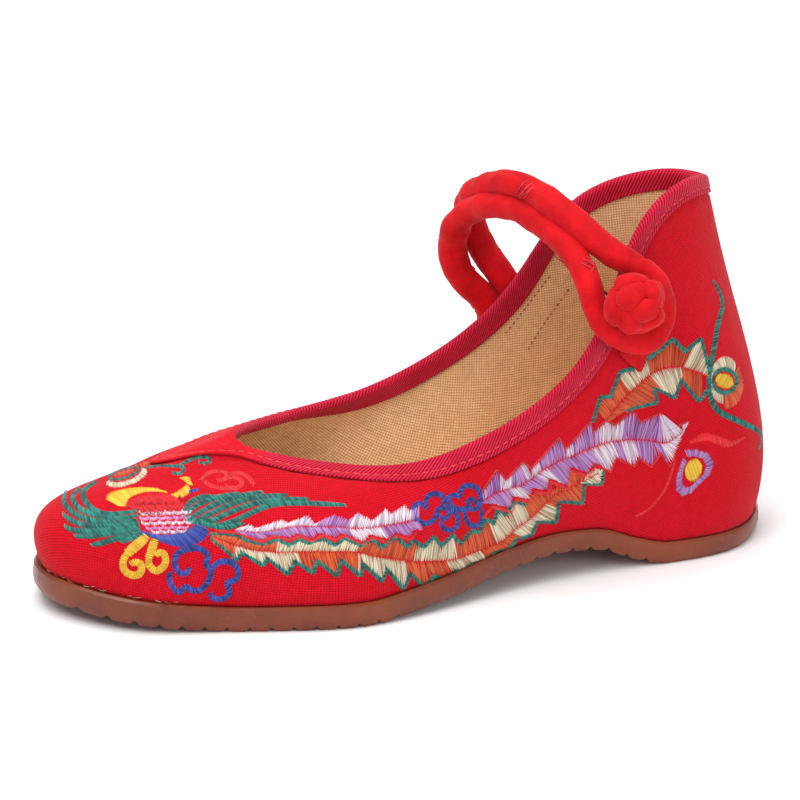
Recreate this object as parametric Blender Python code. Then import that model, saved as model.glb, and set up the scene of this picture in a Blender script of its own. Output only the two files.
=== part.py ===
"""A Chinese cloth shoe, left foot, empty and standing on its sole.

Frame: metres, +Z up, toe towards -Y, outer side of the foot towards +X.
The origin is the middle of the heel pad, on the floor.
"""
import math

import bmesh
import bpy
import numpy as np

for old in list(bpy.data.objects):
    bpy.data.objects.remove(old, do_unlink=True)

MM = 0.001

# Main sizes in millimetres
SHOE_LENGTH = 242.0
BALL_WIDTH = 84.0
COLLAR_HEIGHT = 121.0     # the collar's highest point above the floor, near the heel
HEEL_BACK = 34.0          # how far the heel's back lies behind the origin
WALL = 2.0                # canvas and lining together
TAPE_SEAT = 0.5           # the wall is this much thinner on each side under the tape
TAPE_THICK = 0.8
TAPE_WIDE = 6.6           # outside, on the sides of the collar
TAPE_GAP = 0.38           # between the tape and the wall below it
GAP = 0.3                 # between neighbouring pieces
BED_GAP = 0.6             # between the sole and the wall's foot
TAPE_INSIDE = 6.5         # how far the tape reaches down inside the collar
TAPE_HEM = 1.35           # how far below the rim the tape bends over the wall
SOLE_THICK = 7.8          # side of the sole at the ball
SOLE_EDGE = 2.2           # how far that side stands out beyond the upper
SOLE_ROUND = 1.3          # height of the rounded lower edge
ARCH_LIFT = 8.9           # highest point of the arch above the floor
WEDGE_HIGH = 31.0         # top of the footbed at the heel, above the bed
RIM = 1.0                 # depth of the sole's bed below its rim
NOTCH_PITCH = 6.5         # cross grooves of the tread
NOTCH_DEPTH = 1.1
NOTCH_WIDE = 2.6
COLUMNS = 88              # sections round the shoe
STRAP_SECTIONS = 92
STRAP_SIDES = 10
STRAP_WIDE = 7.4
STRAP_THICK = 6.6
STRAP_TURN = 12.0         # height over which the strap turns onto its edge round the button
KNOT_SIZE = 16.5
STEM_SIZE = 6.0
TAB_WIDE = 12.0
TAB_THICK = 1.2

# Ribs of the upper, starting at the toe tip and going round by the outer side.
# along is a share of the length, across, lean and bulge are shares of the ball width,
# top_high, rise and drop are shares of the collar's height, tape is a share of its width.
# foot = where the rib stands on the sole, top = where it ends at the collar,
# rise and lean = the way it sets off, reach and drop = the way it arrives at the collar,
# reach = share of the way out to the foot, bulge = fullness below the collar.
RIBS = [
    # foot_along, foot_across, top_along, top_across, top_high, rise, lean, reach, drop, bulge, tape
    (0.007, -0.040, 0.258, -0.006, 0.407, 0.212, 0.122, 0.67, 0.138, 0.005, 3.33),
    (0.031, 0.134, 0.270, 0.034, 0.387, 0.200, 0.060, 0.62, 0.108, 0.002, 1.36),
    (0.091, 0.295, 0.297, 0.088, 0.374, 0.207, 0.036, 0.60, 0.083, 0.000, 0.95),
    (0.180, 0.386, 0.326, 0.152, 0.368, 0.198, 0.036, 0.55, 0.066, 0.002, 0.97),
    (0.286, 0.482, 0.376, 0.253, 0.364, 0.182, 0.048, 0.45, 0.041, 0.019, 1.00),
    (0.377, 0.520, 0.442, 0.335, 0.370, 0.182, 0.048, 0.40, 0.054, 0.024, 1.00),
    (0.498, 0.455, 0.531, 0.373, 0.415, 0.182, 0.048, 0.30, 0.099, 0.021, 1.00),
    (0.617, 0.375, 0.633, 0.371, 0.512, 0.198, 0.036, 0.20, 0.149, 0.012, 1.00),
    (0.742, 0.345, 0.711, 0.339, 0.678, 0.231, 0.036, 0.20, 0.231, 0.000, 0.97),
    (0.873, 0.338, 0.769, 0.272, 0.905, 0.298, 0.048, 0.20, 0.298, 0.002, 0.95),
    (0.951, 0.225, 0.853, 0.176, 0.995, 0.307, 0.130, 0.24, 0.372, 0.015, 0.94),
    (0.989, -0.008, 0.904, -0.002, 0.959, 0.255, 0.070, 0.40, 0.425, 0.046, 0.91),
    (0.953, -0.229, 0.874, -0.188, 0.938, 0.309, 0.095, 0.21, 0.345, 0.008, 0.94),
    (0.870, -0.325, 0.774, -0.298, 0.859, 0.298, 0.036, 0.20, 0.298, 0.000, 0.95),
    (0.750, -0.310, 0.705, -0.335, 0.676, 0.231, 0.036, 0.20, 0.231, 0.000, 0.97),
    (0.620, -0.272, 0.633, -0.350, 0.524, 0.198, 0.036, 0.20, 0.149, 0.012, 1.00),
    (0.500, -0.308, 0.536, -0.346, 0.426, 0.182, 0.048, 0.30, 0.099, 0.024, 1.00),
    (0.380, -0.401, 0.446, -0.306, 0.387, 0.183, 0.048, 0.40, 0.045, 0.024, 1.03),
    (0.280, -0.465, 0.374, -0.238, 0.383, 0.182, 0.045, 0.45, 0.037, 0.019, 1.09),
    (0.168, -0.449, 0.316, -0.160, 0.393, 0.205, 0.036, 0.54, 0.080, 0.000, 1.44),
    (0.088, -0.353, 0.288, -0.104, 0.404, 0.160, 0.045, 0.57, 0.100, 0.000, 2.73),
    (0.030, -0.218, 0.268, -0.052, 0.410, 0.198, 0.104, 0.63, 0.142, 0.002, 4.09),
]

# Sole, from toe to heel. along is a share of the length, and each other column is a share
# of its own size above. lift = underside above the floor, thick = side height,
# edge = how far the side stands out beyond the upper.
SOLE = [
    # along, lift, thick, edge
    (0.000, 0.55, 1.05, 0.95),
    (0.080, 0.29, 1.03, 1.05),
    (0.170, 0.06, 1.01, 1.00),
    (0.220, 0.00, 1.00, 1.00),
    (0.360, 0.00, 1.00, 0.95),
    (0.430, 0.18, 1.01, 0.91),
    (0.500, 0.40, 1.01, 0.91),
    (0.580, 0.79, 0.94, 0.86),
    (0.650, 1.00, 0.87, 0.86),
    (0.710, 0.90, 0.88, 0.86),
    (0.770, 0.29, 0.92, 0.82),
    (0.815, 0.00, 0.90, 0.77),
    (0.955, 0.00, 0.83, 0.68),
    (1.000, 0.11, 0.79, 0.64),
]
HEEL_PAD = (0.815, 0.955)
BALL_PAD = (0.235, 0.345)
NOTCHED = (0.030, 0.800)
PAD_SHARE = 0.60          # share of the half width that the plain ball pad takes

# Height of the footbed's top above the bed of the sole, as a share of the wedge's height
FOOTBED = [
    # along, high
    (0.00, 0.12),
    (0.35, 0.13),
    (0.50, 0.29),
    (0.66, 0.61),
    (0.80, 0.87),
    (0.90, 0.97),
    (1.00, 1.00),
]

# Middle line of the strap, from its front end outside the inner wall, over the instep,
# round the button and back to its rear end. Shares of ball width, length and collar height.
STRAP = [
    # across, along, high
    (-0.387, 0.686, 0.438),
    (-0.397, 0.677, 0.508),
    (-0.406, 0.666, 0.577),
    (-0.429, 0.639, 0.638),
    (-0.438, 0.624, 0.711),
    (-0.395, 0.621, 0.791),
    (-0.298, 0.629, 0.858),
    (-0.167, 0.640, 0.897),
    (-0.036, 0.653, 0.907),
    (0.083, 0.667, 0.895),
    (0.179, 0.676, 0.874),
    (0.262, 0.683, 0.841),
    (0.329, 0.686, 0.803),
    (0.374, 0.688, 0.755),
    (0.392, 0.697, 0.698),
    (0.401, 0.717, 0.650),
    (0.404, 0.744, 0.625),
    (0.399, 0.769, 0.630),
    (0.383, 0.784, 0.666),
    (0.374, 0.788, 0.719),
    (0.370, 0.775, 0.779),
    (0.348, 0.748, 0.825),
    (0.300, 0.721, 0.858),
    (0.238, 0.701, 0.896),
    (0.155, 0.684, 0.934),
    (0.048, 0.669, 0.962),
    (-0.071, 0.655, 0.975),
    (-0.190, 0.644, 0.960),
    (-0.310, 0.636, 0.923),
    (-0.412, 0.635, 0.868),
    (-0.471, 0.643, 0.800),
    (-0.476, 0.657, 0.734),
    (-0.445, 0.673, 0.681),
    (-0.407, 0.689, 0.635),
    (-0.388, 0.705, 0.566),
    (-0.384, 0.715, 0.496),
]
KNOT_AT = (0.452, 0.732, 0.754)
STEM_AT = (0.739, 0.716)      # along and high, where the stem leaves the tab
# Tab under the button: its middle line runs from the top to the tip, wide is a share of TAB_WIDE
TAB = [
    # along, high, wide
    (0.739, 0.744, 0.62),
    (0.748, 0.665, 0.83),
    (0.758, 0.598, 1.00),
    (0.764, 0.534, 0.07),
]


def periodic_cubic(rows):
    """A closed smooth curve through the rows, as a function of the row number."""
    rows = np.array(rows, float)
    n = len(rows)
    near = np.roll(np.eye(n), 1, 0) + np.roll(np.eye(n), -1, 0)
    bends = 6 * (np.roll(rows, 1, 0) - 2 * rows + np.roll(rows, -1, 0))
    bend = np.linalg.solve(4 * np.eye(n) + near, bends)

    def at(u):
        k = np.floor(u).astype(int)
        t = (u - k)[:, None]
        p, q = rows[k % n], rows[(k + 1) % n]
        m, o = bend[k % n], bend[(k + 1) % n]
        s = 1 - t
        return s * p + t * q + (s**3 - s) * m / 6 + (t**3 - t) * o / 6

    return at


def open_cubic(rows):
    """A smooth curve through the rows that ends at the first and the last one."""
    rows = np.array(rows, float)
    n = len(rows)
    a = 4 * np.eye(n) + np.eye(n, k=1) + np.eye(n, k=-1)
    a[0] = np.eye(n)[0]
    a[-1] = np.eye(n)[-1]
    b = np.zeros_like(rows)
    b[1:-1] = 6 * (rows[:-2] - 2 * rows[1:-1] + rows[2:])
    bend = np.linalg.solve(a, b)

    def at(u):
        k = np.clip(np.floor(u).astype(int), 0, n - 2)
        t = (u - k)[:, None]
        s = 1 - t
        return (s * rows[k] + t * rows[k + 1]
                + (s**3 - s) * bend[k] / 6 + (t**3 - t) * bend[k + 1] / 6)

    return at


def steady(table, column, size):
    """A curve through a column of shares of a size that never overshoots between two rows."""
    a = np.array([row[0] for row in table])
    z = np.array([row[column] for row in table]) * size
    step = np.diff(a)
    slope = np.diff(z) / step
    tilt = np.zeros(len(a))
    for i in range(1, len(a) - 1):
        if slope[i - 1] * slope[i] > 0:
            w1 = 2 * step[i] + step[i - 1]
            w2 = step[i] + 2 * step[i - 1]
            tilt[i] = (w1 + w2) / (w1 / slope[i - 1] + w2 / slope[i])
    tilt[0] = slope[0]
    tilt[-1] = slope[-1]

    def at(y):
        x = np.clip((np.asarray(y, float) - TOE_Y) / SHOE_LENGTH, a[0], a[-1])
        i = np.clip(np.searchsorted(a, x, side="right") - 1, 0, len(a) - 2)
        h = step[i]
        t = (x - a[i]) / h
        return ((1 + 2 * t) * (1 - t)**2 * z[i] + t * (1 - t)**2 * h * tilt[i]
                + t * t * (3 - 2 * t) * z[i + 1] + t * t * (t - 1) * h * tilt[i + 1])

    return at


TOE_Y = HEEL_BACK - SHOE_LENGTH
lift = steady(SOLE, 1, ARCH_LIFT)
thick = steady(SOLE, 2, SOLE_THICK)
edge = steady(SOLE, 3, SOLE_EDGE)
footbed = steady(FOOTBED, 1, WEDGE_HIGH)
rib_row = periodic_cubic(np.array(RIBS) * (1, 1, 1, 1, COLLAR_HEIGHT, COLLAR_HEIGHT, BALL_WIDTH, 1,
                                           COLLAR_HEIGHT, BALL_WIDTH, TAPE_WIDE))


def place(across, along, high):
    """A point from its shares of ball width, length and collar height."""
    return across * BALL_WIDTH, TOE_Y + along * SHOE_LENGTH, high * COLLAR_HEIGHT


def foot_line(u):
    """Where the upper meets the sole in plan, and the outward direction there."""
    row = rib_row(u)
    step = 1e-3
    ahead = rib_row(u + step)
    behind = rib_row(u - step)
    plan = np.column_stack([row[:, 1] * BALL_WIDTH, TOE_Y + row[:, 0] * SHOE_LENGTH])
    run = np.column_stack([(ahead - behind)[:, 1] * BALL_WIDTH,
                           (ahead - behind)[:, 0] * SHOE_LENGTH])
    out = np.column_stack([run[:, 1], -run[:, 0]])
    return plan, out / np.linalg.norm(out, axis=1)[:, None]


class Ribs:
    """The outer surface of the upper as ribs, measured from the collar downwards."""

    def __init__(self, u, fine=49):
        self.line = self.curves(u, fine)
        along = np.linalg.norm(np.diff(self.line, axis=0), axis=2)
        self.dist = np.concatenate([np.zeros((1, len(u))), np.cumsum(along, axis=0)])
        self.length = self.dist[-1]
        around = self.curves(u + 0.02, fine) - self.curves(u - 0.02, fine)
        upward = -np.gradient(self.line, axis=0)
        out3 = np.cross(around, upward)
        self.out = out3 / np.linalg.norm(out3, axis=2)[:, :, None]
        # A rib may meet the collar at a slant, so distances below the edge grow by that slant.
        rim_run = around[0] / np.linalg.norm(around[0], axis=1)[:, None]
        way_down = self.line[6] - self.line[0]
        way_down /= np.linalg.norm(way_down, axis=1)[:, None]
        slant = np.linalg.norm(np.cross(rim_run, way_down), axis=1)
        self.slant = 1 / np.clip(slant, 0.5, 1.0)
        self.tape = rib_row(u)[:, 10] * self.slant

    @staticmethod
    def curves(u, fine):
        row = rib_row(u)
        plan, out = foot_line(u)
        bed = lift(plan[:, 1]) + thick(plan[:, 1]) - RIM + BED_GAP
        start = np.column_stack([plan, bed])
        top = np.column_stack([row[:, 3] * BALL_WIDTH, TOE_Y + row[:, 2] * SHOE_LENGTH, row[:, 4]])
        off = start + np.column_stack([out * row[:, 6:7], row[:, 5]])
        down = top + np.column_stack([(plan - top[:, :2]) * row[:, 7:8] + out * row[:, 9:10],
                                      -row[:, 8]])
        t = np.linspace(1, 0, fine)[:, None, None]
        return ((1 - t)**3 * start + 3 * (1 - t)**2 * t * off
                + 3 * (1 - t) * t**2 * down + t**3 * top)

    def at(self, distance, offset):
        """Points this far down each rib from the collar, moved outwards by the offset."""
        distance = np.broadcast_to(distance, self.length.shape)
        found = np.empty((len(self.length), 3))
        for k in range(len(self.length)):
            for axis in range(3):
                base = np.interp(distance[k], self.dist[:, k], self.line[:, k, axis])
                way = np.interp(distance[k], self.dist[:, k], self.out[:, k, axis])
                found[k, axis] = base + way * offset
        return found


def colour(name, rgb, rough, sheen=0.0):
    made = bpy.data.materials.new(name)
    made.use_nodes = True
    shader = made.node_tree.nodes["Principled BSDF"]
    shader.inputs["Base Color"].default_value = (*rgb, 1)
    shader.inputs["Roughness"].default_value = rough
    shader.inputs["Sheen Weight"].default_value = sheen
    made.diffuse_color = (*rgb, 1)
    return made


def solid(name, points, faces, material, smooth=True):
    """One closed mesh object from millimetre points, with its faces turned outwards."""
    mesh = bpy.data.meshes.new(name)
    mesh.from_pydata([tuple(p * MM for p in point) for point in np.asarray(points).tolist()],
                     [], [list(map(int, face)) for face in faces])
    work = bmesh.new()
    work.from_mesh(mesh)
    bmesh.ops.recalc_face_normals(work, faces=work.faces)
    if work.calc_volume(signed=True) < 0:
        bmesh.ops.reverse_faces(work, faces=work.faces)
    work.to_mesh(mesh)
    work.free()
    made = bpy.data.objects.new(name, mesh)
    made.data.materials.append(material)
    bpy.context.scene.collection.objects.link(made)
    for face in mesh.polygons:
        face.use_smooth = smooth
    if smooth:
        mesh.set_sharp_from_angle(angle=math.radians(40))
    return made


def tube_faces(loops, n, closed):
    """Quads between neighbouring loops of n points each."""
    faces = []
    for i in range(loops if closed else loops - 1):
        a, b = i * n, (i + 1) % loops * n
        for k in range(n):
            j = (k + 1) % n
            faces.append((a + k, a + j, b + j, b + k))
    return faces


def ladder(first, n):
    """Faces across a loop: rungs join column k to column n - k."""
    half = n // 2
    faces = [(first, first + 1, first + n - 1)]
    for k in range(1, half - 1):
        faces.append((first + k, first + k + 1, first + n - k - 1, first + n - k))
    faces.append((first + half - 1, first + half, first + half + 1))
    return faces


# Upper
columns = np.linspace(0, len(RIBS), COLUMNS, endpoint=False)
ribs = Ribs(columns)
seat = ribs.tape + GAP * ribs.slant
body = ribs.length - seat
tape_inside = TAPE_INSIDE * ribs.slant
inner_seat = tape_inside + GAP * ribs.slant
inner_body = ribs.length - inner_seat
TOP_CLEAR = 1.9
top_clear = TOP_CLEAR * ribs.slant

section = [ribs.at(seat + body * share, 0.0)
           for share in (1.0, 0.88, 0.75, 0.61, 0.47, 0.33, 0.18, 0.0)]
section += [ribs.at(seat, -TAPE_SEAT),
            ribs.at(ribs.tape * 2 / 3, -TAPE_SEAT),
            ribs.at(ribs.tape / 3, -TAPE_SEAT),
            ribs.at(top_clear, -TAPE_SEAT),
            ribs.at(top_clear, TAPE_SEAT - WALL),
            ribs.at(inner_seat, TAPE_SEAT - WALL),
            ribs.at(inner_seat, -WALL)]
section += [ribs.at(inner_seat + inner_body * share, -WALL)
            for share in (0.18, 0.36, 0.54, 0.71, 0.87, 1.0)]
red_cloth = colour("red_canvas", (0.58, 0.012, 0.03), 0.85, 0.2)
solid("upper", np.concatenate(section), tube_faces(len(section), COLUMNS, True), red_cloth)

# Collar tape
under = TAPE_GAP - TAPE_SEAT
over = under + TAPE_THICK
inside = TAPE_SEAT - WALL - TAPE_GAP - 0.1
further = inside - TAPE_THICK
section = [ribs.at(ribs.tape, under),
           ribs.at(ribs.tape, over - 0.05),
           ribs.at(ribs.tape * 2 / 3, over),
           ribs.at(ribs.tape / 3, over),
           ribs.at(TAPE_HEM * ribs.slant, over - 0.15),
           ribs.at(0.0, -WALL / 2),
           ribs.at(TAPE_HEM * ribs.slant, further + 0.15),
           ribs.at(tape_inside, further),
           ribs.at(tape_inside, inside),
           ribs.at((TAPE_HEM + 0.05) * ribs.slant, inside),
           ribs.at((TAPE_HEM + 0.05) * ribs.slant, under),
           ribs.at(ribs.tape / 3, under),
           ribs.at(ribs.tape * 2 / 3, under)]
twill = colour("red_twill", (0.46, 0.015, 0.06), 0.8, 0.3)
solid("collar_binding", np.concatenate(section), tube_faces(len(section), COLUMNS, True), twill)


# Outsole
def share_to_y(share):
    return TOE_Y + share * SHOE_LENGTH


fine_u = np.linspace(-len(RIBS) / 2, len(RIBS) / 2 + 1, 6000)
fine_y = foot_line(fine_u)[0][:, 1]
tip_u = fine_u[np.argmin(fine_y)]
turn = np.linspace(tip_u, tip_u + len(RIBS), 12000)
turn_y = foot_line(turn)[0][:, 1]
heel_i = int(np.argmax(turn_y))
tip_y, heel_y = turn_y[0], turn_y[heel_i]

stations = [(tip_y + away, 0.0) for away in (0.9, 2.6)]
groove = share_to_y(NOTCHED[0])
while groove < share_to_y(NOTCHED[1]):
    for away, deep in ((-0.5, 0.0), (0.0, 1.0), (0.5, 0.0)):
        stations.append((groove + away * NOTCH_WIDE, deep))
    groove += NOTCH_PITCH
last_y = stations[-1][0]
stations += [(y, 0.0) for y in np.linspace(last_y, heel_y - 4.6, 9)[1:]]
stations += [(heel_y - away, 0.0) for away in (2.2, 0.8)]
across_y = np.array([y for y, _ in stations])
depth = np.array([deep for _, deep in stations])
outer_u = np.interp(across_y, turn_y[:heel_i + 1], turn[:heel_i + 1])
inner_u = np.interp(across_y, turn_y[heel_i:][::-1], turn[heel_i:][::-1])
around_u = np.concatenate([[tip_u], outer_u, [turn[heel_i]], inner_u[::-1]])
around_y = np.concatenate([[tip_y], across_y, [heel_y], across_y[::-1]])
around_deep = np.concatenate([[0.0], depth, [0.0], depth[::-1]])
n = len(around_u)
plan, out = foot_line(around_u)
floor_z = lift(around_y)
high = thick(around_y)
side = edge(around_y)


def sole_loop(reach, z):
    reach = np.broadcast_to(reach, (n,))
    return np.column_stack([plan + out * reach[:, None], np.broadcast_to(z, (n,))])


notch = around_deep * NOTCH_DEPTH
in_pad = (around_y > share_to_y(BALL_PAD[0])) & (around_y < share_to_y(BALL_PAD[1]))
middle = (plan + plan[(-np.arange(n)) % n]) / 2
panel = np.column_stack([middle + (plan - middle) * PAD_SHARE,
                         floor_z + np.where(in_pad, 0.0, notch)])
loops = [panel,
         sole_loop(side - 1.2, floor_z + notch),
         sole_loop(side - 0.4, floor_z + SOLE_ROUND + notch * 0.35),
         sole_loop(side + 0.2, floor_z + 0.5 * high),
         sole_loop(side - 0.1, floor_z + high - 0.7),
         sole_loop(side - 0.7, floor_z + high),
         sole_loop(BED_GAP, floor_z + high),
         sole_loop(BED_GAP, floor_z + high - RIM)]
faces = tube_faces(len(loops), n, False)
faces += ladder(0, n)
faces += [tuple(reversed(face)) for face in ladder((len(loops) - 1) * n, n)]
gum = colour("gum_rubber", (0.33, 0.13, 0.05), 0.35)
solid("outsole", np.concatenate(loops), faces, gum)

# Insole, on its own stations so that its underside follows the bed
LINING_GAP = 0.8
foot_y = np.concatenate([[tip_y + away for away in (1.2, 4.0, 8.0)],
                         np.linspace(tip_y + 14.0, heel_y - 11.0, 30),
                         [heel_y - away for away in (6.5, 3.0, 0.9)]])
outer_u = np.interp(foot_y, turn_y[:heel_i + 1], turn[:heel_i + 1])
inner_u = np.interp(foot_y, turn_y[heel_i:][::-1], turn[heel_i:][::-1])
thin = np.concatenate([[tip_u], outer_u, [turn[heel_i]], inner_u[::-1]])
inner = Ribs(thin)
n = len(thin)


def bed_z(y):
    return lift(y) + thick(y) - RIM


def level(height):
    """Points inside the wall where it passes this height above the bed."""
    found = np.empty((n, 3))
    for k in range(n):
        line = inner.line[::-1, k] - inner.out[::-1, k] * (WALL + LINING_GAP)
        above = line[:, 2] - bed_z(line[:, 1]) - height(line[:, 1])
        i = max(int(np.argmax(above > 0)), 1)
        share = min(max(-above[i - 1] / max(above[i] - above[i - 1], 1e-6), 0.0), 1.0)
        found[k] = line[i - 1] + (line[i] - line[i - 1]) * share
        found[k, 2] = bed_z(found[k, 1]) + height(found[k, 1])
    return found


loops = [level(lambda y: np.full(np.shape(y), BED_GAP)),
         level(lambda y: footbed(y) * 0.35),
         level(lambda y: footbed(y) * 0.7),
         level(lambda y: footbed(y) - 0.8)]
inward = inner.out[-1].copy()
inward[:, 2] = 0
inward /= np.linalg.norm(inward, axis=1)[:, None]
crown = level(footbed)
crown[:, :2] -= inward[:, :2]
loops.append(crown)
faces = tube_faces(len(loops), n, False)
faces += ladder(0, n)
faces += [tuple(reversed(face)) for face in ladder((len(loops) - 1) * n, n)]
tan = colour("tan_canvas", (0.50, 0.30, 0.13), 0.9)
solid("insole", np.concatenate(loops), faces, tan)


def sweep(name, rows, sections, sides, wide, thickness, material, side_hint):
    """A round-edged cord along the rows, flat across its own width."""
    curve = open_cubic(rows)
    u = np.linspace(0, len(rows) - 1, sections)
    centre = curve(u)
    run = np.gradient(centre, axis=0)
    run /= np.linalg.norm(run, axis=1)[:, None]
    hint = side_hint(centre)
    flat = hint - run * (hint * run).sum(axis=1)[:, None]
    flat /= np.linalg.norm(flat, axis=1)[:, None]
    up = np.cross(run, flat)
    turn_by = np.arange(sides) * 2 * math.pi / sides
    rings = []
    for i in range(sections):
        for angle in turn_by:
            rings.append(centre[i] + flat[i] * math.cos(angle) * wide / 2
                         + up[i] * math.sin(angle) * thickness / 2)
    faces = tube_faces(sections, sides, False)
    faces.append(tuple(range(sides)))
    faces.append(tuple(range((sections - 1) * sides, sections * sides))[::-1])
    return solid(name, rings, faces, material)


# Strap
bright = colour("red_cotton", (0.72, 0.012, 0.02), 0.75, 0.2)


def towards_middle(centre):
    """The strap's wide way: along the shoe, level with the wall that it lies on."""
    return np.tile(np.array([0.0, 1.0, 0.12]), (len(centre), 1))


def strap_side(centre):
    """Round the button the wide way stands off the wall, elsewhere it runs along the shoe."""
    above = centre[:, 2] - knot_at[2]
    lower = np.clip(1 - (above - 0.8) / STRAP_TURN, 0, 1) * (centre[:, 0] > 0)
    button = knot_at - centre
    button[:, 0] = 0
    button /= np.maximum(np.linalg.norm(button, axis=1), 1e-6)[:, None]
    return button * lower[:, None] + towards_middle(centre) * (1 - lower)[:, None]


knot_at = np.array(place(*KNOT_AT))
strap_rows = [place(*row) for row in STRAP]
sweep("strap", strap_rows, STRAP_SECTIONS, STRAP_SIDES, STRAP_WIDE, STRAP_THICK, bright, strap_side)


# Button
fine_ribs = Ribs(np.linspace(0, len(RIBS), COLUMNS * 4, endpoint=False))


def wall_point(y, z, offset):
    """The point of the outer wall at this y and z, on the side of the button."""
    outside = fine_ribs.line[:, :COLUMNS * 2].reshape(-1, 3)
    away = fine_ribs.out[:, :COLUMNS * 2].reshape(-1, 3)
    near = np.argsort((outside[:, 1] - y)**2 + (outside[:, 2] - z)**2)[:6]
    weight = 1 / (0.05 + np.hypot(outside[near, 1] - y, outside[near, 2] - z))
    weight /= weight.sum()
    base = (outside[near] * weight[:, None]).sum(axis=0)
    way = (away[near] * weight[:, None]).sum(axis=0)
    return np.array([base[0], y, z]) + way / np.linalg.norm(way) * offset


def knot_points(turns, levels):
    """A ball with six soft lobes, slightly flattened towards the wall."""
    points = [(0.0, 0.0, 1.0)]
    for i in range(1, levels):
        polar = math.pi * i / levels
        for k in range(turns):
            angle = 2 * math.pi * k / turns
            lobe = 1 + 0.035 * math.cos(3 * angle) * math.sin(polar)**2
            points.append((math.sin(polar) * math.cos(angle) * lobe,
                           math.sin(polar) * math.sin(angle) * lobe,
                           math.cos(polar)))
    points.append((0.0, 0.0, -1.0))
    return np.array(points)


def ball(name, centre, size, axis_scale, material, turns=18, levels=12):
    local = knot_points(turns, levels) * size / 2 * np.array(axis_scale)
    points = np.column_stack([local[:, 2], local[:, 0], local[:, 1]]) + np.array(centre)
    faces = []
    for k in range(turns):
        j = (k + 1) % turns
        faces.append((0, 1 + k, 1 + j))
        for i in range(levels - 2):
            a = 1 + i * turns
            b = a + turns
            faces.append((a + k, b + k, b + j, a + j))
        a = 1 + (levels - 2) * turns
        faces.append((a + k, len(points) - 1, a + j))
    return solid(name, points, faces, material)


knot = ball("button_knot", knot_at, KNOT_SIZE, (1.0, 1.0, 0.92), bright)
stem_at = place(0, *STEM_AT)[1:]
stem_from = wall_point(*stem_at, over + GAP + TAB_THICK + GAP)[0] + 0.9
stem_to = knot_at[0]
ring = np.arange(14) * 2 * math.pi / 14
stem = [(x, y + math.cos(a) * STEM_SIZE / 2, z + math.sin(a) * STEM_SIZE / 2)
        for x, y, z in ((stem_from, *stem_at), (stem_to, *knot_at[1:])) for a in ring]
stem_faces = tube_faces(2, 14, False)
stem_faces += [tuple(range(14)), tuple(range(14, 28))[::-1]]
stem_body = solid("stem_helper", stem, stem_faces, bright)
stem_body.hide_render = True
stem_body.display_type = "WIRE"
join = knot.modifiers.new("stem", "BOOLEAN")
join.operation = "UNION"
join.solver = "EXACT"
join.object = stem_body

# Tab under the button, following the tape and the wall beside it
tab_line = np.array([(*place(0, along, high)[1:], wide * TAB_WIDE) for along, high, wide in TAB])
steps = 10
down = np.concatenate([[0.0], np.cumsum(np.hypot(*np.diff(tab_line[:, :2], axis=0).T))])
at = np.linspace(0, down[-1], steps + 1)
line_y = np.interp(at, down, tab_line[:, 0])
line_z = np.interp(at, down, tab_line[:, 1])
half = np.interp(at, down, tab_line[:, 2]) / 2
lie = np.array([tab_line[-1, 0] - tab_line[0, 0], tab_line[-1, 1] - tab_line[0, 1]])
lie /= np.hypot(*lie)
points = []
for offset in (over + GAP, over + GAP + TAB_THICK):
    for y, z, h in zip(line_y, line_z, half):
        for share in (-1.0, 0.0, 1.0):
            points.append(wall_point(y - lie[1] * h * share, z + lie[0] * h * share, offset))
rows = steps + 1
faces = []
for layer in (0, 1):
    base = layer * rows * 3
    for i in range(steps):
        for k in range(2):
            a = base + i * 3 + k
            faces.append((a, a + 1, a + 4, a + 3))
top_layer = rows * 3
for i in range(steps):
    for a in (i * 3, i * 3 + 2):
        faces.append((a, a + 3, top_layer + a + 3, top_layer + a))
for k in range(2):
    for a in (k, steps * 3 + k):
        faces.append((a, a + 1, top_layer + a + 1, top_layer + a))
solid("button_tab", points, faces, bright)
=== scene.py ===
"""Looks of the Chinese cloth shoe, left foot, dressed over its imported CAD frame.

Lengths are millimetres in the shoe's own frame until a mesh is made.
Places in the embroidery are pixels of the 800 by 800 photograph, laid on the cloth
along the rays of the camera.
"""
import math

import bmesh
import bpy
import numpy as np
from mathutils import Matrix, Vector
from mathutils.bvhtree import BVHTree


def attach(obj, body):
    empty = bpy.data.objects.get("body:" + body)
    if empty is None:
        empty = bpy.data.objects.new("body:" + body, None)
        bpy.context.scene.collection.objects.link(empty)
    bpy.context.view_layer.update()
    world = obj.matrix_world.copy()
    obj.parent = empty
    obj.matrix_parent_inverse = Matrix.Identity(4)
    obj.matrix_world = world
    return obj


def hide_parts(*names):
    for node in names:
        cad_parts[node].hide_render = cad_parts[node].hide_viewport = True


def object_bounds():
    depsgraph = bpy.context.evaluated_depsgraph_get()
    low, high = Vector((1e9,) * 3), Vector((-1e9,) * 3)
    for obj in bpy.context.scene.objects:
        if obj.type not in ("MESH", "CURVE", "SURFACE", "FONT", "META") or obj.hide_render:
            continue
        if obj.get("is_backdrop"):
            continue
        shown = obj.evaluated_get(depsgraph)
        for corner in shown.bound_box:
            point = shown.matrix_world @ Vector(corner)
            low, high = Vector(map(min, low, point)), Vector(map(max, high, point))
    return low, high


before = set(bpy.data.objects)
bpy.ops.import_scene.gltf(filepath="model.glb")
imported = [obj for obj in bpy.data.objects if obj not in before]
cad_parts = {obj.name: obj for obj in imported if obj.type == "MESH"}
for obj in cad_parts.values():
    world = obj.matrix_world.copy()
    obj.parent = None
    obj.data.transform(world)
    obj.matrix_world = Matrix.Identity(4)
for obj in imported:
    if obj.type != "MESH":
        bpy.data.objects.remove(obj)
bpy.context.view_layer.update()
MM = 0.001

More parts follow.
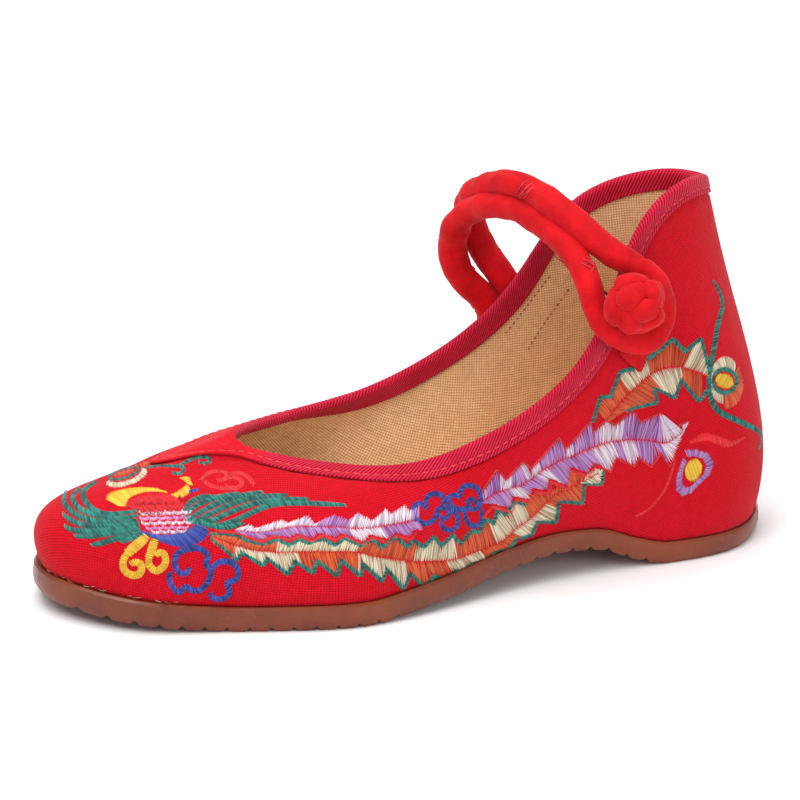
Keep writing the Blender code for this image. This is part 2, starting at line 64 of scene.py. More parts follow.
# Camera, fitted to the photograph
EYE = np.array([2039.53, -1033.80, 894.79])
BACK = np.array([0.85009, -0.39307, 0.35050])
RIGHT = np.array([0.41004, 0.91164, 0.02788])
UP = np.array([-0.33049, 0.12002, 0.93615])
FOCAL_PIXELS = 7795.85
PHOTO = 800
SENSOR = 36.0

# The upper's sizes and ribs, as in the CAD source
SHOE_LENGTH = 242.0
BALL_WIDTH = 84.0
COLLAR_HEIGHT = 121.0
TAPE_WIDE = 6.6
SOLE_THICK = 7.8
ARCH_LIFT = 8.9
STRAP_WIDE = 7.4
STRAP_THICK = 6.6
STRAP_TURN = 12.0
TAB_WIDE = 12.0
HEEL_BACK = 34.0
TOE_Y = HEEL_BACK - SHOE_LENGTH
WALL = 2.0
CLOTH = 0.95
BED_LIFT = 0.4            # the wall's foot above the sole's rim, less the depth of its bed
RIBS = [
    # foot_along, foot_across, top_along, top_across, top_high, rise, lean, reach, drop, bulge, tape
    (0.007, -0.040, 0.258, -0.006, 0.407, 0.212, 0.122, 0.67, 0.138, 0.005, 3.33),
    (0.031, 0.134, 0.270, 0.034, 0.387, 0.200, 0.060, 0.62, 0.108, 0.002, 1.36),
    (0.091, 0.295, 0.297, 0.088, 0.374, 0.207, 0.036, 0.60, 0.083, 0.000, 0.95),
    (0.180, 0.386, 0.326, 0.152, 0.368, 0.198, 0.036, 0.55, 0.066, 0.002, 0.97),
    (0.286, 0.482, 0.376, 0.253, 0.364, 0.182, 0.048, 0.45, 0.041, 0.019, 1.00),
    (0.377, 0.520, 0.442, 0.335, 0.370, 0.182, 0.048, 0.40, 0.054, 0.024, 1.00),
    (0.498, 0.455, 0.531, 0.373, 0.415, 0.182, 0.048, 0.30, 0.099, 0.021, 1.00),
    (0.617, 0.375, 0.633, 0.371, 0.512, 0.198, 0.036, 0.20, 0.149, 0.012, 1.00),
    (0.742, 0.345, 0.711, 0.339, 0.678, 0.231, 0.036, 0.20, 0.231, 0.000, 0.97),
    (0.873, 0.338, 0.769, 0.272, 0.905, 0.298, 0.048, 0.20, 0.298, 0.002, 0.95),
    (0.951, 0.225, 0.853, 0.176, 0.995, 0.307, 0.130, 0.24, 0.372, 0.015, 0.94),
    (0.989, -0.008, 0.904, -0.002, 0.959, 0.255, 0.070, 0.40, 0.425, 0.046, 0.91),
    (0.953, -0.229, 0.874, -0.188, 0.938, 0.309, 0.095, 0.21, 0.345, 0.008, 0.94),
    (0.870, -0.325, 0.774, -0.298, 0.859, 0.298, 0.036, 0.20, 0.298, 0.000, 0.95),
    (0.750, -0.310, 0.705, -0.335, 0.676, 0.231, 0.036, 0.20, 0.231, 0.000, 0.97),
    (0.620, -0.272, 0.633, -0.350, 0.524, 0.198, 0.036, 0.20, 0.149, 0.012, 1.00),
    (0.500, -0.308, 0.536, -0.346, 0.426, 0.182, 0.048, 0.30, 0.099, 0.024, 1.00),
    (0.380, -0.401, 0.446, -0.306, 0.387, 0.183, 0.048, 0.40, 0.045, 0.024, 1.03),
    (0.280, -0.465, 0.374, -0.238, 0.383, 0.182, 0.045, 0.45, 0.037, 0.019, 1.09),
    (0.168, -0.449, 0.316, -0.160, 0.393, 0.205, 0.036, 0.54, 0.080, 0.000, 1.44),
    (0.088, -0.353, 0.288, -0.104, 0.404, 0.160, 0.045, 0.57, 0.100, 0.000, 2.73),
    (0.030, -0.218, 0.268, -0.052, 0.410, 0.198, 0.104, 0.63, 0.142, 0.002, 4.09),
]
HEEL_ROW = 11
SOLE = [
    # along, lift, thick, edge
    (0.000, 0.55, 1.05, 0.95),
    (0.080, 0.29, 1.03, 1.05),
    (0.170, 0.06, 1.01, 1.00),
    (0.220, 0.00, 1.00, 1.00),
    (0.360, 0.00, 1.00, 0.95),
    (0.430, 0.18, 1.01, 0.91),
    (0.500, 0.40, 1.01, 0.91),
    (0.580, 0.79, 0.94, 0.86),
    (0.650, 1.00, 0.87, 0.86),
    (0.710, 0.90, 0.88, 0.86),
    (0.770, 0.29, 0.92, 0.82),
    (0.815, 0.00, 0.90, 0.77),
    (0.955, 0.00, 0.83, 0.68),
    (1.000, 0.11, 0.79, 0.64),
]
# Middle line of the strap, the button and the tab, as in the CAD source
STRAP = [
    # across, along, high
    (-0.387, 0.686, 0.438),
    (-0.397, 0.677, 0.508),
    (-0.406, 0.666, 0.577),
    (-0.429, 0.639, 0.638),
    (-0.438, 0.624, 0.711),
    (-0.395, 0.621, 0.791),
    (-0.298, 0.629, 0.858),
    (-0.167, 0.640, 0.897),
    (-0.036, 0.653, 0.907),
    (0.083, 0.667, 0.895),
    (0.179, 0.676, 0.874),
    (0.262, 0.683, 0.841),
    (0.329, 0.686, 0.803),
    (0.374, 0.688, 0.755),
    (0.392, 0.697, 0.698),
    (0.401, 0.717, 0.650),
    (0.404, 0.744, 0.625),
    (0.399, 0.769, 0.630),
    (0.383, 0.784, 0.666),
    (0.374, 0.788, 0.719),
    (0.370, 0.775, 0.779),
    (0.348, 0.748, 0.825),
    (0.300, 0.721, 0.858),
    (0.238, 0.701, 0.896),
    (0.155, 0.684, 0.934),
    (0.048, 0.669, 0.962),
    (-0.071, 0.655, 0.975),
    (-0.190, 0.644, 0.960),
    (-0.310, 0.636, 0.923),
    (-0.412, 0.635, 0.868),
    (-0.471, 0.643, 0.800),
    (-0.476, 0.657, 0.734),
    (-0.445, 0.673, 0.681),
    (-0.407, 0.689, 0.635),
    (-0.388, 0.705, 0.566),
    (-0.384, 0.715, 0.496),
]
KNOT_AT = (0.452, 0.732, 0.754)
STEM_AT = (0.739, 0.716)      # along and high, where the stem leaves the tab
TAB = [
    # along, high, wide
    (0.739, 0.744, 0.62),
    (0.748, 0.665, 0.83),
    (0.758, 0.598, 1.00),
    (0.764, 0.534, 0.07),
]


def periodic_cubic(rows):
    """A closed smooth curve through the rows, as a function of the row number."""
    rows = np.array(rows, float)
    n = len(rows)
    near = np.roll(np.eye(n), 1, 0) + np.roll(np.eye(n), -1, 0)
    bend = np.linalg.solve(4 * np.eye(n) + near,
                           6 * (np.roll(rows, 1, 0) - 2 * rows + np.roll(rows, -1, 0)))

    def at(u):
        k = np.floor(u).astype(int)
        t = (u - k)[:, None]
        s = 1 - t
        return (s * rows[k % n] + t * rows[(k + 1) % n]
                + (s**3 - s) * bend[k % n] / 6 + (t**3 - t) * bend[(k + 1) % n] / 6)

    return at


def open_cubic(rows):
    """A smooth curve through the rows that ends at the first and the last one."""
    rows = np.array(rows, float)
    n = len(rows)
    a = 4 * np.eye(n) + np.eye(n, k=1) + np.eye(n, k=-1)
    a[0] = np.eye(n)[0]
    a[-1] = np.eye(n)[-1]
    b = np.zeros_like(rows)
    b[1:-1] = 6 * (rows[:-2] - 2 * rows[1:-1] + rows[2:])
    bend = np.linalg.solve(a, b)

    def at(u):
        u = np.asarray(u, float)
        k = np.clip(np.floor(u).astype(int), 0, n - 2)
        t = (u - k)[:, None]
        s = 1 - t
        return (s * rows[k] + t * rows[k + 1]
                + (s**3 - s) * bend[k] / 6 + (t**3 - t) * bend[k + 1] / 6)

    return at


def steady(table, column, size):
    """A curve through a column of shares of a size that never overshoots between two rows."""
    a = np.array([row[0] for row in table])
    z = np.array([row[column] for row in table]) * size
    step = np.diff(a)
    slope = np.diff(z) / step
    tilt = np.zeros(len(a))
    for i in range(1, len(a) - 1):
        if slope[i - 1] * slope[i] > 0:
            w1 = 2 * step[i] + step[i - 1]
            w2 = step[i] + 2 * step[i - 1]
            tilt[i] = (w1 + w2) / (w1 / slope[i - 1] + w2 / slope[i])
    tilt[0] = slope[0]
    tilt[-1] = slope[-1]

    def at(y):
        x = np.clip((np.asarray(y, float) - TOE_Y) / SHOE_LENGTH, a[0], a[-1])
        i = np.clip(np.searchsorted(a, x, side="right") - 1, 0, len(a) - 2)
        h = step[i]
        t = (x - a[i]) / h
        return ((1 + 2 * t) * (1 - t)**2 * z[i] + t * (1 - t)**2 * h * tilt[i]
                + t * t * (3 - 2 * t) * z[i + 1] + t * t * (t - 1) * h * tilt[i + 1])

    return at


lift = steady(SOLE, 1, ARCH_LIFT)
thick = steady(SOLE, 2, SOLE_THICK)
rib_row = periodic_cubic(np.array(RIBS) * (1, 1, 1, 1, COLLAR_HEIGHT, COLLAR_HEIGHT, BALL_WIDTH, 1,
                                           COLLAR_HEIGHT, BALL_WIDTH, TAPE_WIDE))


def foot_line(u):
    """Where the upper meets the sole in plan, and the outward direction there."""
    row = rib_row(u)
    apart = rib_row(u + 1e-3) - rib_row(u - 1e-3)
    plan = np.column_stack([row[:, 1] * BALL_WIDTH, TOE_Y + row[:, 0] * SHOE_LENGTH])
    out = np.column_stack([apart[:, 0] * SHOE_LENGTH, -apart[:, 1] * BALL_WIDTH])
    return plan, out / np.linalg.norm(out, axis=1)[:, None]


def share_point(across, along, high):
    """A point from its shares of ball width, length and collar height."""
    return across * BALL_WIDTH, TOE_Y + along * SHOE_LENGTH, high * COLLAR_HEIGHT


def unit(v):
    return v / np.maximum(np.linalg.norm(v, axis=-1, keepdims=True), 1e-9)


class Skin:
    """The outer surface of the upper as ribs, measured from the collar downwards."""

    def __init__(self, u, fine=65):
        self.line = self.curves(u, fine)
        along = np.linalg.norm(np.diff(self.line, axis=0), axis=2)
        self.dist = np.concatenate([np.zeros((1, len(u))), np.cumsum(along, axis=0)])
        self.length = self.dist[-1]
        around = self.curves(u + 0.02, fine) - self.curves(u - 0.02, fine)
        self.out = unit(np.cross(around, -np.gradient(self.line, axis=0)))
        down = unit(self.line[8] - self.line[0])
        slant = np.linalg.norm(np.cross(unit(around[0]), down), axis=1)
        self.slant = 1 / np.clip(slant, 0.5, 1.0)
        self.tape = rib_row(u)[:, 10] * self.slant

    @staticmethod
    def curves(u, fine):
        row = rib_row(u)
        plan, out = foot_line(u)
        bed = lift(plan[:, 1]) + thick(plan[:, 1]) - BED_LIFT
        start = np.column_stack([plan, bed])
        top = np.column_stack([row[:, 3] * BALL_WIDTH, TOE_Y + row[:, 2] * SHOE_LENGTH, row[:, 4]])
        off = start + np.column_stack([out * row[:, 6:7], row[:, 5]])
        down = top + np.column_stack([(plan - top[:, :2]) * row[:, 7:8] + out * row[:, 9:10],
                                      -row[:, 8]])
        t = np.linspace(1, 0, fine)[:, None, None]
        return ((1 - t)**3 * start + 3 * (1 - t)**2 * t * off
                + 3 * (1 - t) * t**2 * down + t**3 * top)

    def read(self, values, distance):
        """Values along the ribs, looked up this far down each rib."""
        distance = np.broadcast_to(distance, self.length.shape)
        found = np.empty((len(self.length), values.shape[2]))
        for k in range(len(self.length)):
            for axis in range(values.shape[2]):
                found[k, axis] = np.interp(distance[k], self.dist[:, k], values[:, k, axis])
        return found

    def at(self, distance, offset=0.0):
        """Points this far down each rib from the collar, moved outwards by the offset."""
        offset = np.broadcast_to(offset, self.length.shape)[:, None]
        return self.read(self.line, distance) + self.read(self.out, distance) * offset


def ripple(points, size, seed):
    """Soft even unevenness between about -1 and 1, the same on each run."""
    points = np.asarray(points, float)
    total = np.zeros(points.shape[:-1])
    for i in range(5):
        angle = 2.4 * i + seed * 1.7
        way = np.array([math.cos(angle), math.sin(angle), math.cos(angle * 1.9 + seed)])
        turns = 2 * math.pi / (size * (0.75 + 0.22 * i))
        total += np.sin(points @ way * turns + seed * 3.1 + i * 1.3)
    return total / 3.2


# Materials


class Paint:
    """One node material, with short calls for the nodes it is made of."""

    def __init__(self, name, roughness=0.8, sheen=0.0, sheen_rough=0.5, specular=0.5):
        self.material = bpy.data.materials.new(name)
        self.material.use_nodes = True
        self.tree = self.material.node_tree
        self.shader = self.tree.nodes["Principled BSDF"]
        self.set("Roughness", roughness)
        self.set("Sheen Weight", sheen)
        self.set("Sheen Roughness", sheen_rough)
        self.set("Specular IOR Level", specular)

    def set(self, socket, value):
        if hasattr(value, "links"):
            self.tree.links.new(value, self.shader.inputs[socket])
        else:
            self.shader.inputs[socket].default_value = value

    def node(self, kind, out=0, inputs=(), **settings):
        made = self.tree.nodes.new(kind)
        for name, value in settings.items():
            setattr(made, name, value)
        for name, value in dict(inputs).items():
            if hasattr(value, "links"):
                self.tree.links.new(value, made.inputs[name])
            else:
                made.inputs[name].default_value = value
        return made.outputs[out]

    def math(self, how, a, b=0.0, c=0.0):
        return self.node("ShaderNodeMath", 0, {0: a, 1: b, 2: c}, operation=how)

    def uv(self, scale=1.0, turn=0.0, wobble=0.0):
        """The two cloth coordinates in units of scale millimetres."""
        place = self.node("ShaderNodeUVMap", uv_map="cloth")
        if wobble:
            drift = self.node("ShaderNodeTexNoise", "Color",
                              {"Vector": place, "Scale": 0.16, "Detail": 2.0})
            drift = self.node("ShaderNodeVectorMath", 0, {0: drift, 1: (0.5, 0.5, 0.5)},
                              operation="SUBTRACT")
            drift = self.node("ShaderNodeVectorMath", 0, {0: drift, "Scale": wobble},
                              operation="SCALE")
            place = self.node("ShaderNodeVectorMath", 0, {0: place, 1: drift}, operation="ADD")
        place = self.node("ShaderNodeMapping", 0, {
            "Vector": place,
            "Rotation": (0, 0, math.radians(turn)),
            "Scale": (1 / scale, 1 / scale, 1),
        })
        split = self.tree.nodes.new("ShaderNodeSeparateXYZ")
        self.tree.links.new(place, split.inputs[0])
        return split.outputs[0], split.outputs[1]

    def noise(self, size, detail=3.0, rough=0.6):
        """Noise with features of about this size in millimetres."""
        place = self.node("ShaderNodeTexCoord", "Object")
        return self.node("ShaderNodeTexNoise", 0, {
            "Vector": place, "Scale": 1000 / size, "Detail": detail, "Roughness": rough})

    def blend(self, share, low, high):
        """A colour between two, by the share."""
        mixed = self.tree.nodes.new("ShaderNodeMix")
        mixed.data_type = "RGBA"
        for socket, value in ((0, share), (6, low), (7, high)):
            if hasattr(value, "links"):
                self.tree.links.new(value, mixed.inputs[socket])
            else:
                mixed.inputs[socket].default_value = value
        return mixed.outputs[2]

    def span(self, value, low, high, to_low=0.0, to_high=1.0):
        return self.node("ShaderNodeMapRange", 0, {
            "Value": value, "From Min": low, "From Max": high,
            "To Min": to_low, "To Max": to_high})

    def bump(self, height, depth, strength=1.0, under=None):
        """A bump of this many millimetres, over another one if given."""
        inputs = {"Height": height, "Distance": depth * MM, "Strength": strength}
        if under is not None:
            inputs["Normal"] = under
        return self.node("ShaderNodeBump", 0, inputs)


def srgb(r, g, b):
    """A colour given as on screen, 0 to 255."""
    return tuple((c / 255 / 12.92 if c / 255 <= 0.04045 else ((c / 255 + 0.055) / 1.055)**2.4)
                 for c in (r, g, b)) + (1.0,)


WEAVE_WOBBLE = 0.5


def plain_weave(paint, pitch, turn):
    """Height of a plain weave, 0 in its holes and 1 on its threads."""
    x, y = paint.uv(pitch, turn, WEAVE_WOBBLE)
    wave_x = paint.math("SINE", paint.math("MULTIPLY", x, math.pi))
    wave_y = paint.math("SINE", paint.math("MULTIPLY", y, math.pi))
    warp_up = paint.math("GREATER_THAN", paint.math("MULTIPLY", wave_x, wave_y), 0.0)
    size_x = paint.math("ABSOLUTE", wave_x)
    size_y = paint.math("ABSOLUTE", wave_y)
    warp = paint.math("MULTIPLY", paint.math("SQRT", size_x),
                      paint.math("MULTIPLY_ADD", size_y, 0.5, 0.5))
    weft = paint.math("MULTIPLY", paint.math("SQRT", size_y),
                      paint.math("MULTIPLY_ADD", size_x, 0.65, 0.35))
    first = paint.math("MULTIPLY", warp, warp_up)
    second = paint.math("MULTIPLY", weft, paint.math("SUBTRACT", 1.0, warp_up))
    return paint.math("ADD", first, second)


def canvas(name, thread, hole_shade, fade, pitch, turn, depth, sheen):
    """Plain woven cotton: thread colour, a painted shade colour for the holes between the threads, and a
    faded thread colour.
    """
    paint = Paint(name, 0.9, sheen, 0.45, 0.12)
    height = plain_weave(paint, pitch, turn)
    patchy = paint.span(paint.noise(26.0, 2.0), 0.35, 0.68)
    yarn = paint.blend(patchy, thread, fade)
    slub = paint.span(paint.noise(2.3, 3.0, 0.7), 0.3, 0.75, 0.86, 1.12)
    yarn = paint.node("ShaderNodeVectorMath", 0, {0: yarn, "Scale": slub}, operation="SCALE")
    # Painted shade: the holes between the threads take the darker hole colour.
    paint.set("Base Color", paint.blend(paint.span(height, 0.18, 0.72), hole_shade, yarn))
    broad = paint.bump(paint.noise(9.0, 3.0), 0.35, 0.5)
    paint.set("Normal", paint.bump(height, depth, 1.0, broad))
    return paint.material


def twill_tape(name, plain_from, plain_to):
    """Woven tape with slanting ribs, plain cloth between two places along it, the overlay."""
    paint = Paint(name, 0.75, 0.10, 0.35, 0.2)
    x, y = paint.uv(1.0, 0.0, 0.35)
    along = paint.math("ADD", x, paint.math("MULTIPLY", y, 0.62))
    rib = paint.math("SINE", paint.math("MULTIPLY", along, 2 * math.pi / 1.22))
    rib = paint.math("MULTIPLY_ADD", rib, 0.5, 0.5)
    cross = paint.math("SINE", paint.math("MULTIPLY", y, 2 * math.pi / 0.62))
    cross = paint.math("MULTIPLY_ADD", cross, 0.10, 0.10)
    height = paint.math("ADD", paint.math("POWER", rib, 0.7), cross)
    shade = paint.span(paint.noise(14.0, 2.0), 0.3, 0.7)
    yarn = paint.blend(shade, srgb(204, 18, 52), srgb(220, 30, 70))
    # Painted shade: the grooves between the ribs take a dark red.
    groove_shade = srgb(124, 0, 24)
    ribbed = paint.blend(paint.span(height, 0.22, 0.85), groove_shade, yarn)
    overlay = paint.math("MULTIPLY", paint.span(x, plain_from - 5, plain_from + 5),
                         paint.span(x, plain_to + 5, plain_to - 5))
    overlay = paint.math("MULTIPLY", overlay, paint.span(y, 0.0, 1.2))
    fine = paint.noise(0.8, 2.0, 0.7)
    plain = paint.blend(paint.span(fine, 0.3, 0.7), srgb(186, 2, 26), srgb(214, 8, 34))
    paint.set("Base Color", paint.blend(overlay, ribbed, plain))
    broad = paint.bump(paint.noise(7.0, 3.0), 0.25, 0.5)
    rise = paint.math("MULTIPLY", height, paint.math("SUBTRACT", 1.0, overlay))
    rise = paint.math("MULTIPLY_ADD", fine, paint.math("MULTIPLY", overlay, 0.5), rise)
    paint.set("Normal", paint.bump(rise, 0.24, 1.0, broad))
    return paint.material


def soft_cotton(name, colour, deep):
    """Smooth fine cotton of the strap and button."""
    paint = Paint(name, 0.8, 0.07, 0.4, 0.2)
    shade = paint.span(paint.noise(8.0, 3.0), 0.3, 0.72)
    fine = paint.noise(0.55, 2.0, 0.7)
    yarn = paint.blend(shade, deep, colour)
    grain = paint.span(fine, 0.3, 0.7, 0.88, 1.08)
    paint.set("Base Color", paint.node("ShaderNodeVectorMath", 0, {0: yarn, "Scale": grain},
                                       operation="SCALE"))
    crease = paint.bump(paint.noise(5.5, 3.0, 0.55), 0.55, 0.6)
    paint.set("Normal", paint.bump(fine, 0.08, 0.7, crease))
    return paint.material


def thread_paint(name, colour, deep):
    """Shiny rayon: each stitch has its own shade, a painted sheen between the thread's shaded colour,
    deep, and its lit colour; a twist runs along it, with painted shade in its grooves.
    """
    paint = Paint(name, 0.42, 0.12, 0.3, 0.5)
    own = paint.node("ShaderNodeAttribute", "Fac", attribute_name="shade")
    x, y = paint.uv(1.0)
    twist = paint.math("ADD", paint.math("MULTIPLY", x, 9.0), paint.math("MULTIPLY", y, 14.0))
    twist = paint.math("MULTIPLY_ADD", paint.math("SINE", twist), 0.5, 0.5)
    mixed = paint.blend(own, deep, colour)
    # Painted shade: the grooves of the twist are darker.
    twist_shade = paint.span(twist, 0.0, 1.0, 0.82, 1.0)
    paint.set("Base Color", paint.node("ShaderNodeVectorMath", 0, {0: mixed, "Scale": twist_shade},
                                       operation="SCALE"))
    paint.set("Normal", paint.bump(twist, 0.05, 0.7))
    return paint.material


def gum(name):
    """Slightly clear gum rubber with a satin skin."""
    paint = Paint(name, 0.3, 0.0, 0.5, 0.45)
    cloud = paint.span(paint.noise(22.0, 4.0), 0.32, 0.7)
    colour = paint.blend(cloud, srgb(100, 34, 8), srgb(132, 58, 22))
    scuff = paint.span(paint.noise(3.2, 5.0, 0.75), 0.58, 0.8, 0.0, 0.35)
    paint.set("Base Color", paint.blend(scuff, colour, srgb(164, 106, 68)))
    paint.set("Subsurface Weight", 0.08)
    paint.set("Subsurface Radius", (1.0, 0.45, 0.2))
    paint.set("Subsurface Scale", 0.004)
    rough = paint.span(paint.noise(6.0, 4.0), 0.3, 0.75, 0.26, 0.46)
    paint.set("Roughness", rough)
    soft = paint.bump(paint.noise(12.0, 2.0), 0.25, 0.4)
    paint.set("Normal", paint.bump(paint.noise(0.9, 3.0), 0.03, 0.6, soft))
    return paint.material


RED = srgb(208, 4, 26)
# The second colour of each canvas is the painted shade in the holes of its weave.
red_canvas = canvas("red_canvas_cloth", RED, srgb(150, 0, 16), srgb(212, 10, 36),
                    0.80, 38.0, 0.16, 0.07)
tan_canvas = canvas("tan_canvas_cloth", srgb(252, 214, 168), srgb(184, 132, 90),
                    srgb(242, 202, 154), 0.84, 8.0, 0.16, 0.04)
red_cotton = soft_cotton("red_cotton_cloth", srgb(214, 4, 20), srgb(176, 0, 12))
gum_rubber = gum("gum_rubber_sole")

# Each thread: its colour when lit, and a darker colour for its painted shade.
THREADS = {
    "teal": thread_paint("teal_thread", srgb(34, 164, 142), srgb(0, 66, 70)),
    "yellow": thread_paint("yellow_thread", srgb(250, 214, 58), srgb(214, 160, 24)),
    "blue": thread_paint("blue_thread", srgb(66, 94, 200), srgb(18, 24, 104)),
    "lavender": thread_paint("lavender_thread", srgb(212, 160, 216), srgb(124, 64, 146)),
    "white": thread_paint("white_thread", srgb(250, 238, 246), srgb(176, 150, 178)),
    "cream": thread_paint("cream_thread", srgb(246, 236, 212), srgb(166, 140, 98)),
    "orange": thread_paint("orange_thread", srgb(238, 106, 42), srgb(176, 40, 8)),
    "pink": thread_paint("pink_thread", srgb(240, 176, 222), srgb(188, 90, 150)),
    "red": thread_paint("red_thread", srgb(255, 22, 40), srgb(196, 2, 20)),
    "wine": thread_paint("wine_thread", srgb(206, 8, 34), srgb(124, 0, 16)),
    "brick": thread_paint("brick_thread", srgb(236, 46, 58), srgb(176, 8, 30)),
    "rust": thread_paint("rust_thread", srgb(176, 56, 34), srgb(110, 24, 14)),
}


# Mesh making


def place(name, points, faces, material, uv=None, slot=None, shade=None, replaces=()):
    """One smooth object from millimetre points, riding on the shoe. uv holds a pair for each
    face corner."""
    mesh = bpy.data.meshes.new(name)
    flat = np.concatenate([np.asarray(face) for face in faces]) if isinstance(faces, list) \
        else np.asarray(faces).ravel()
    sizes = np.array([len(face) for face in faces])
    mesh.vertices.add(len(points))
    mesh.vertices.foreach_set("co", (np.asarray(points, float) * MM).ravel())
    mesh.loops.add(len(flat))
    mesh.loops.foreach_set("vertex_index", flat.astype(np.int32))
    mesh.polygons.add(len(sizes))
    starts = np.concatenate([[0], np.cumsum(sizes)[:-1]])
    mesh.polygons.foreach_set("loop_start", starts.astype(np.int32))
    mesh.update(calc_edges=True)
    mesh.validate()
    mesh.polygons.foreach_set("use_smooth", np.ones(len(sizes), bool))
    if uv is not None:
        mesh.uv_layers.new(name="cloth")
        mesh.uv_layers["cloth"].data.foreach_set("uv", np.asarray(uv, float).ravel())
    # shade carries each stitch's painted sheen to its material.
    if shade is not None:
        mesh.attributes.new("shade", "FLOAT", "POINT")
        mesh.attributes["shade"].data.foreach_set("value", np.asarray(shade, np.float32))
    mesh.materials.append(material)
    made = bpy.data.objects.new(name, mesh)
    bpy.context.scene.collection.objects.link(made)
    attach(made, "root")
    if replaces:
        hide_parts(*replaces)
    return made


def grid_faces(rows, columns, wrap_rows=False, wrap_columns=False, flip=False):
    """Quads of a grid and, for each corner, its place in the unwrapped grid."""
    faces, corners = [], []
    for i in range(rows if wrap_rows else rows - 1):
        for k in range(columns if wrap_columns else columns - 1):
            ring = [(i, k), (i, k + 1), (i + 1, k + 1), (i + 1, k)]
            if flip:
                ring.reverse()
            faces.append([(a % rows) * columns + b % columns for a, b in ring])
            corners.append(ring)
    return np.array(faces), np.array(corners)


def grid(name, points, material, uv, wrap_rows=False, wrap_columns=False, flip=False, **more):
    """A grid of points as one piece. uv has one more row or column where the grid closes."""
    rows, columns = points.shape[:2]
    faces, corners = grid_faces(rows, columns, wrap_rows, wrap_columns, flip)
    loops = uv[corners[..., 0], corners[..., 1]]
    return place(name, points.reshape(-1, 3), faces, material, uv=loops.reshape(-1, 2), **more)


def flatten_cloth(points):
    """Lays a grid of points flat as cut cloth, with as little stretch as can be, in mm."""
    rows, columns = points.shape[:2]
    faces, _ = grid_faces(rows, columns)
    mesh = bpy.data.meshes.new("pattern")
    mesh.from_pydata(points.reshape(-1, 3).tolist(), [], faces.tolist())
    made = bpy.data.objects.new("pattern", mesh)
    bpy.context.scene.collection.objects.link(made)
    bpy.context.view_layer.objects.active = made
    made.select_set(True)
    mesh.uv_layers.new(name="cloth")
    bpy.ops.object.mode_set(mode="EDIT")
    bpy.ops.mesh.select_all(action="SELECT")
    bpy.ops.uv.unwrap(method="MINIMUM_STRETCH", margin=0.0)
    bpy.ops.object.mode_set(mode="OBJECT")
    read = np.zeros(len(mesh.loops) * 2)
    mesh.uv_layers["cloth"].data.foreach_get("uv", read)
    index = np.zeros(len(mesh.loops), np.int32)
    mesh.loops.foreach_get("vertex_index", index)
    flat = np.zeros((rows * columns, 2))
    flat[index] = read.reshape(-1, 2)
    flat = flat.reshape(rows, columns, 2)
    real = np.linalg.norm(np.diff(points, axis=0), axis=2)
    laid = np.linalg.norm(np.diff(flat, axis=0), axis=2)
    flat *= np.median(real / np.maximum(laid, 1e-9))
    bpy.data.objects.remove(made)
    bpy.data.meshes.remove(mesh)
    # Turn the pattern so that its first way follows the shoe at the toe.
    middle = columns // 2
    way = flat[-1, middle] - flat[0, middle]
    angle = math.atan2(way[1], way[0])
    turn = np.array([[math.cos(angle), -math.sin(angle)], [math.sin(angle), math.cos(angle)]])
    return flat @ turn


# Upper cloth and lining
SKIN_COLUMNS = 264
SKIN_ROWS = 60
PATTERN_STEP = 4
skin_u = HEEL_ROW + np.linspace(0, len(RIBS), SKIN_COLUMNS, endpoint=False)
skin = Skin(skin_u)
shares = np.linspace(0, 1, SKIN_ROWS + 1)
surface = np.stack([skin.at(skin.length * share) for share in shares])
outward = np.stack([skin.read(skin.out, skin.length * share) for share in shares])
closed = np.concatenate([surface, surface[:, :1]], axis=1)
pattern = flatten_cloth(closed[::PATTERN_STEP, ::PATTERN_STEP])
coarse_rows = np.arange(0, SKIN_ROWS + 1, PATTERN_STEP)
coarse_columns = np.arange(0, SKIN_COLUMNS + 1, PATTERN_STEP)
cloth_uv = np.empty((SKIN_ROWS + 1, SKIN_COLUMNS + 1, 2))
for axis in range(2):
    wide = np.stack([np.interp(np.arange(SKIN_COLUMNS + 1), coarse_columns, row)
                     for row in pattern[:, :, axis]])
    cloth_uv[:, :, axis] = np.stack([np.interp(np.arange(SKIN_ROWS + 1), coarse_rows, column)
                                     for column in wide.T]).T

# Where the cloth lies under the tape it is thinner, as in the CAD wall.
down = skin.length[None, :] * shares[:, None]
under_tape = np.clip((skin.tape + 0.6 - down) / 0.5, 0, 1)
pucker = np.exp(-((down - skin.tape - 3.0) / 3.0)**2)
above_sole = skin.length[None, :] - down
gather = np.exp(-(above_sole / 4.5)**2)
round_way = np.cumsum(np.linalg.norm(np.diff(closed[-1], axis=0), axis=1))
swell = (ripple(surface, 46.0, 1.0) * 0.22
         + pucker * np.sin(round_way / 5.2 + ripple(surface, 30.0, 3.0) * 2.0) * 0.10
         + gather * np.sin(round_way / 3.1 + ripple(surface, 25.0, 5.0) * 2.0) * 0.09)
swell *= np.clip((down - skin.tape) / 6.0, 0, 1) * np.clip(above_sole / 2.0, 0.15, 1)
outer = surface + outward * (swell - under_tape * 0.5)[:, :, None]
inner = surface + outward * (-CLOTH - under_tape * 0.12)[:, :, None]
keep = slice(1, None)


def shell(name, outside, inside, uv, material, **more):
    """A closed cloth wall between two grids."""
    points = np.concatenate([outside, inside[::-1]])
    pairs = np.concatenate([uv, uv[::-1], uv[:1]])
    return grid(name, points, material, pairs, wrap_rows=True, wrap_columns=True, flip=True, **more)


shell("upper_cloth", outer[keep], inner[keep], cloth_uv[keep], red_canvas,
      slot="red_canvas", replaces=["upper"])
lining_out = surface - outward * (CLOTH + 0.1 + under_tape * 0.1)[:, :, None]
wrinkle = ripple(surface, 34.0, 8.0) * 0.12 + ripple(surface, 13.0, 4.0) * 0.05
lining_in = surface - outward * (WALL - wrinkle - under_tape * 0.45)[:, :, None]
shell("lining", lining_out[keep], lining_in[keep], cloth_uv[keep], tan_canvas,
      slot="tan_canvas")

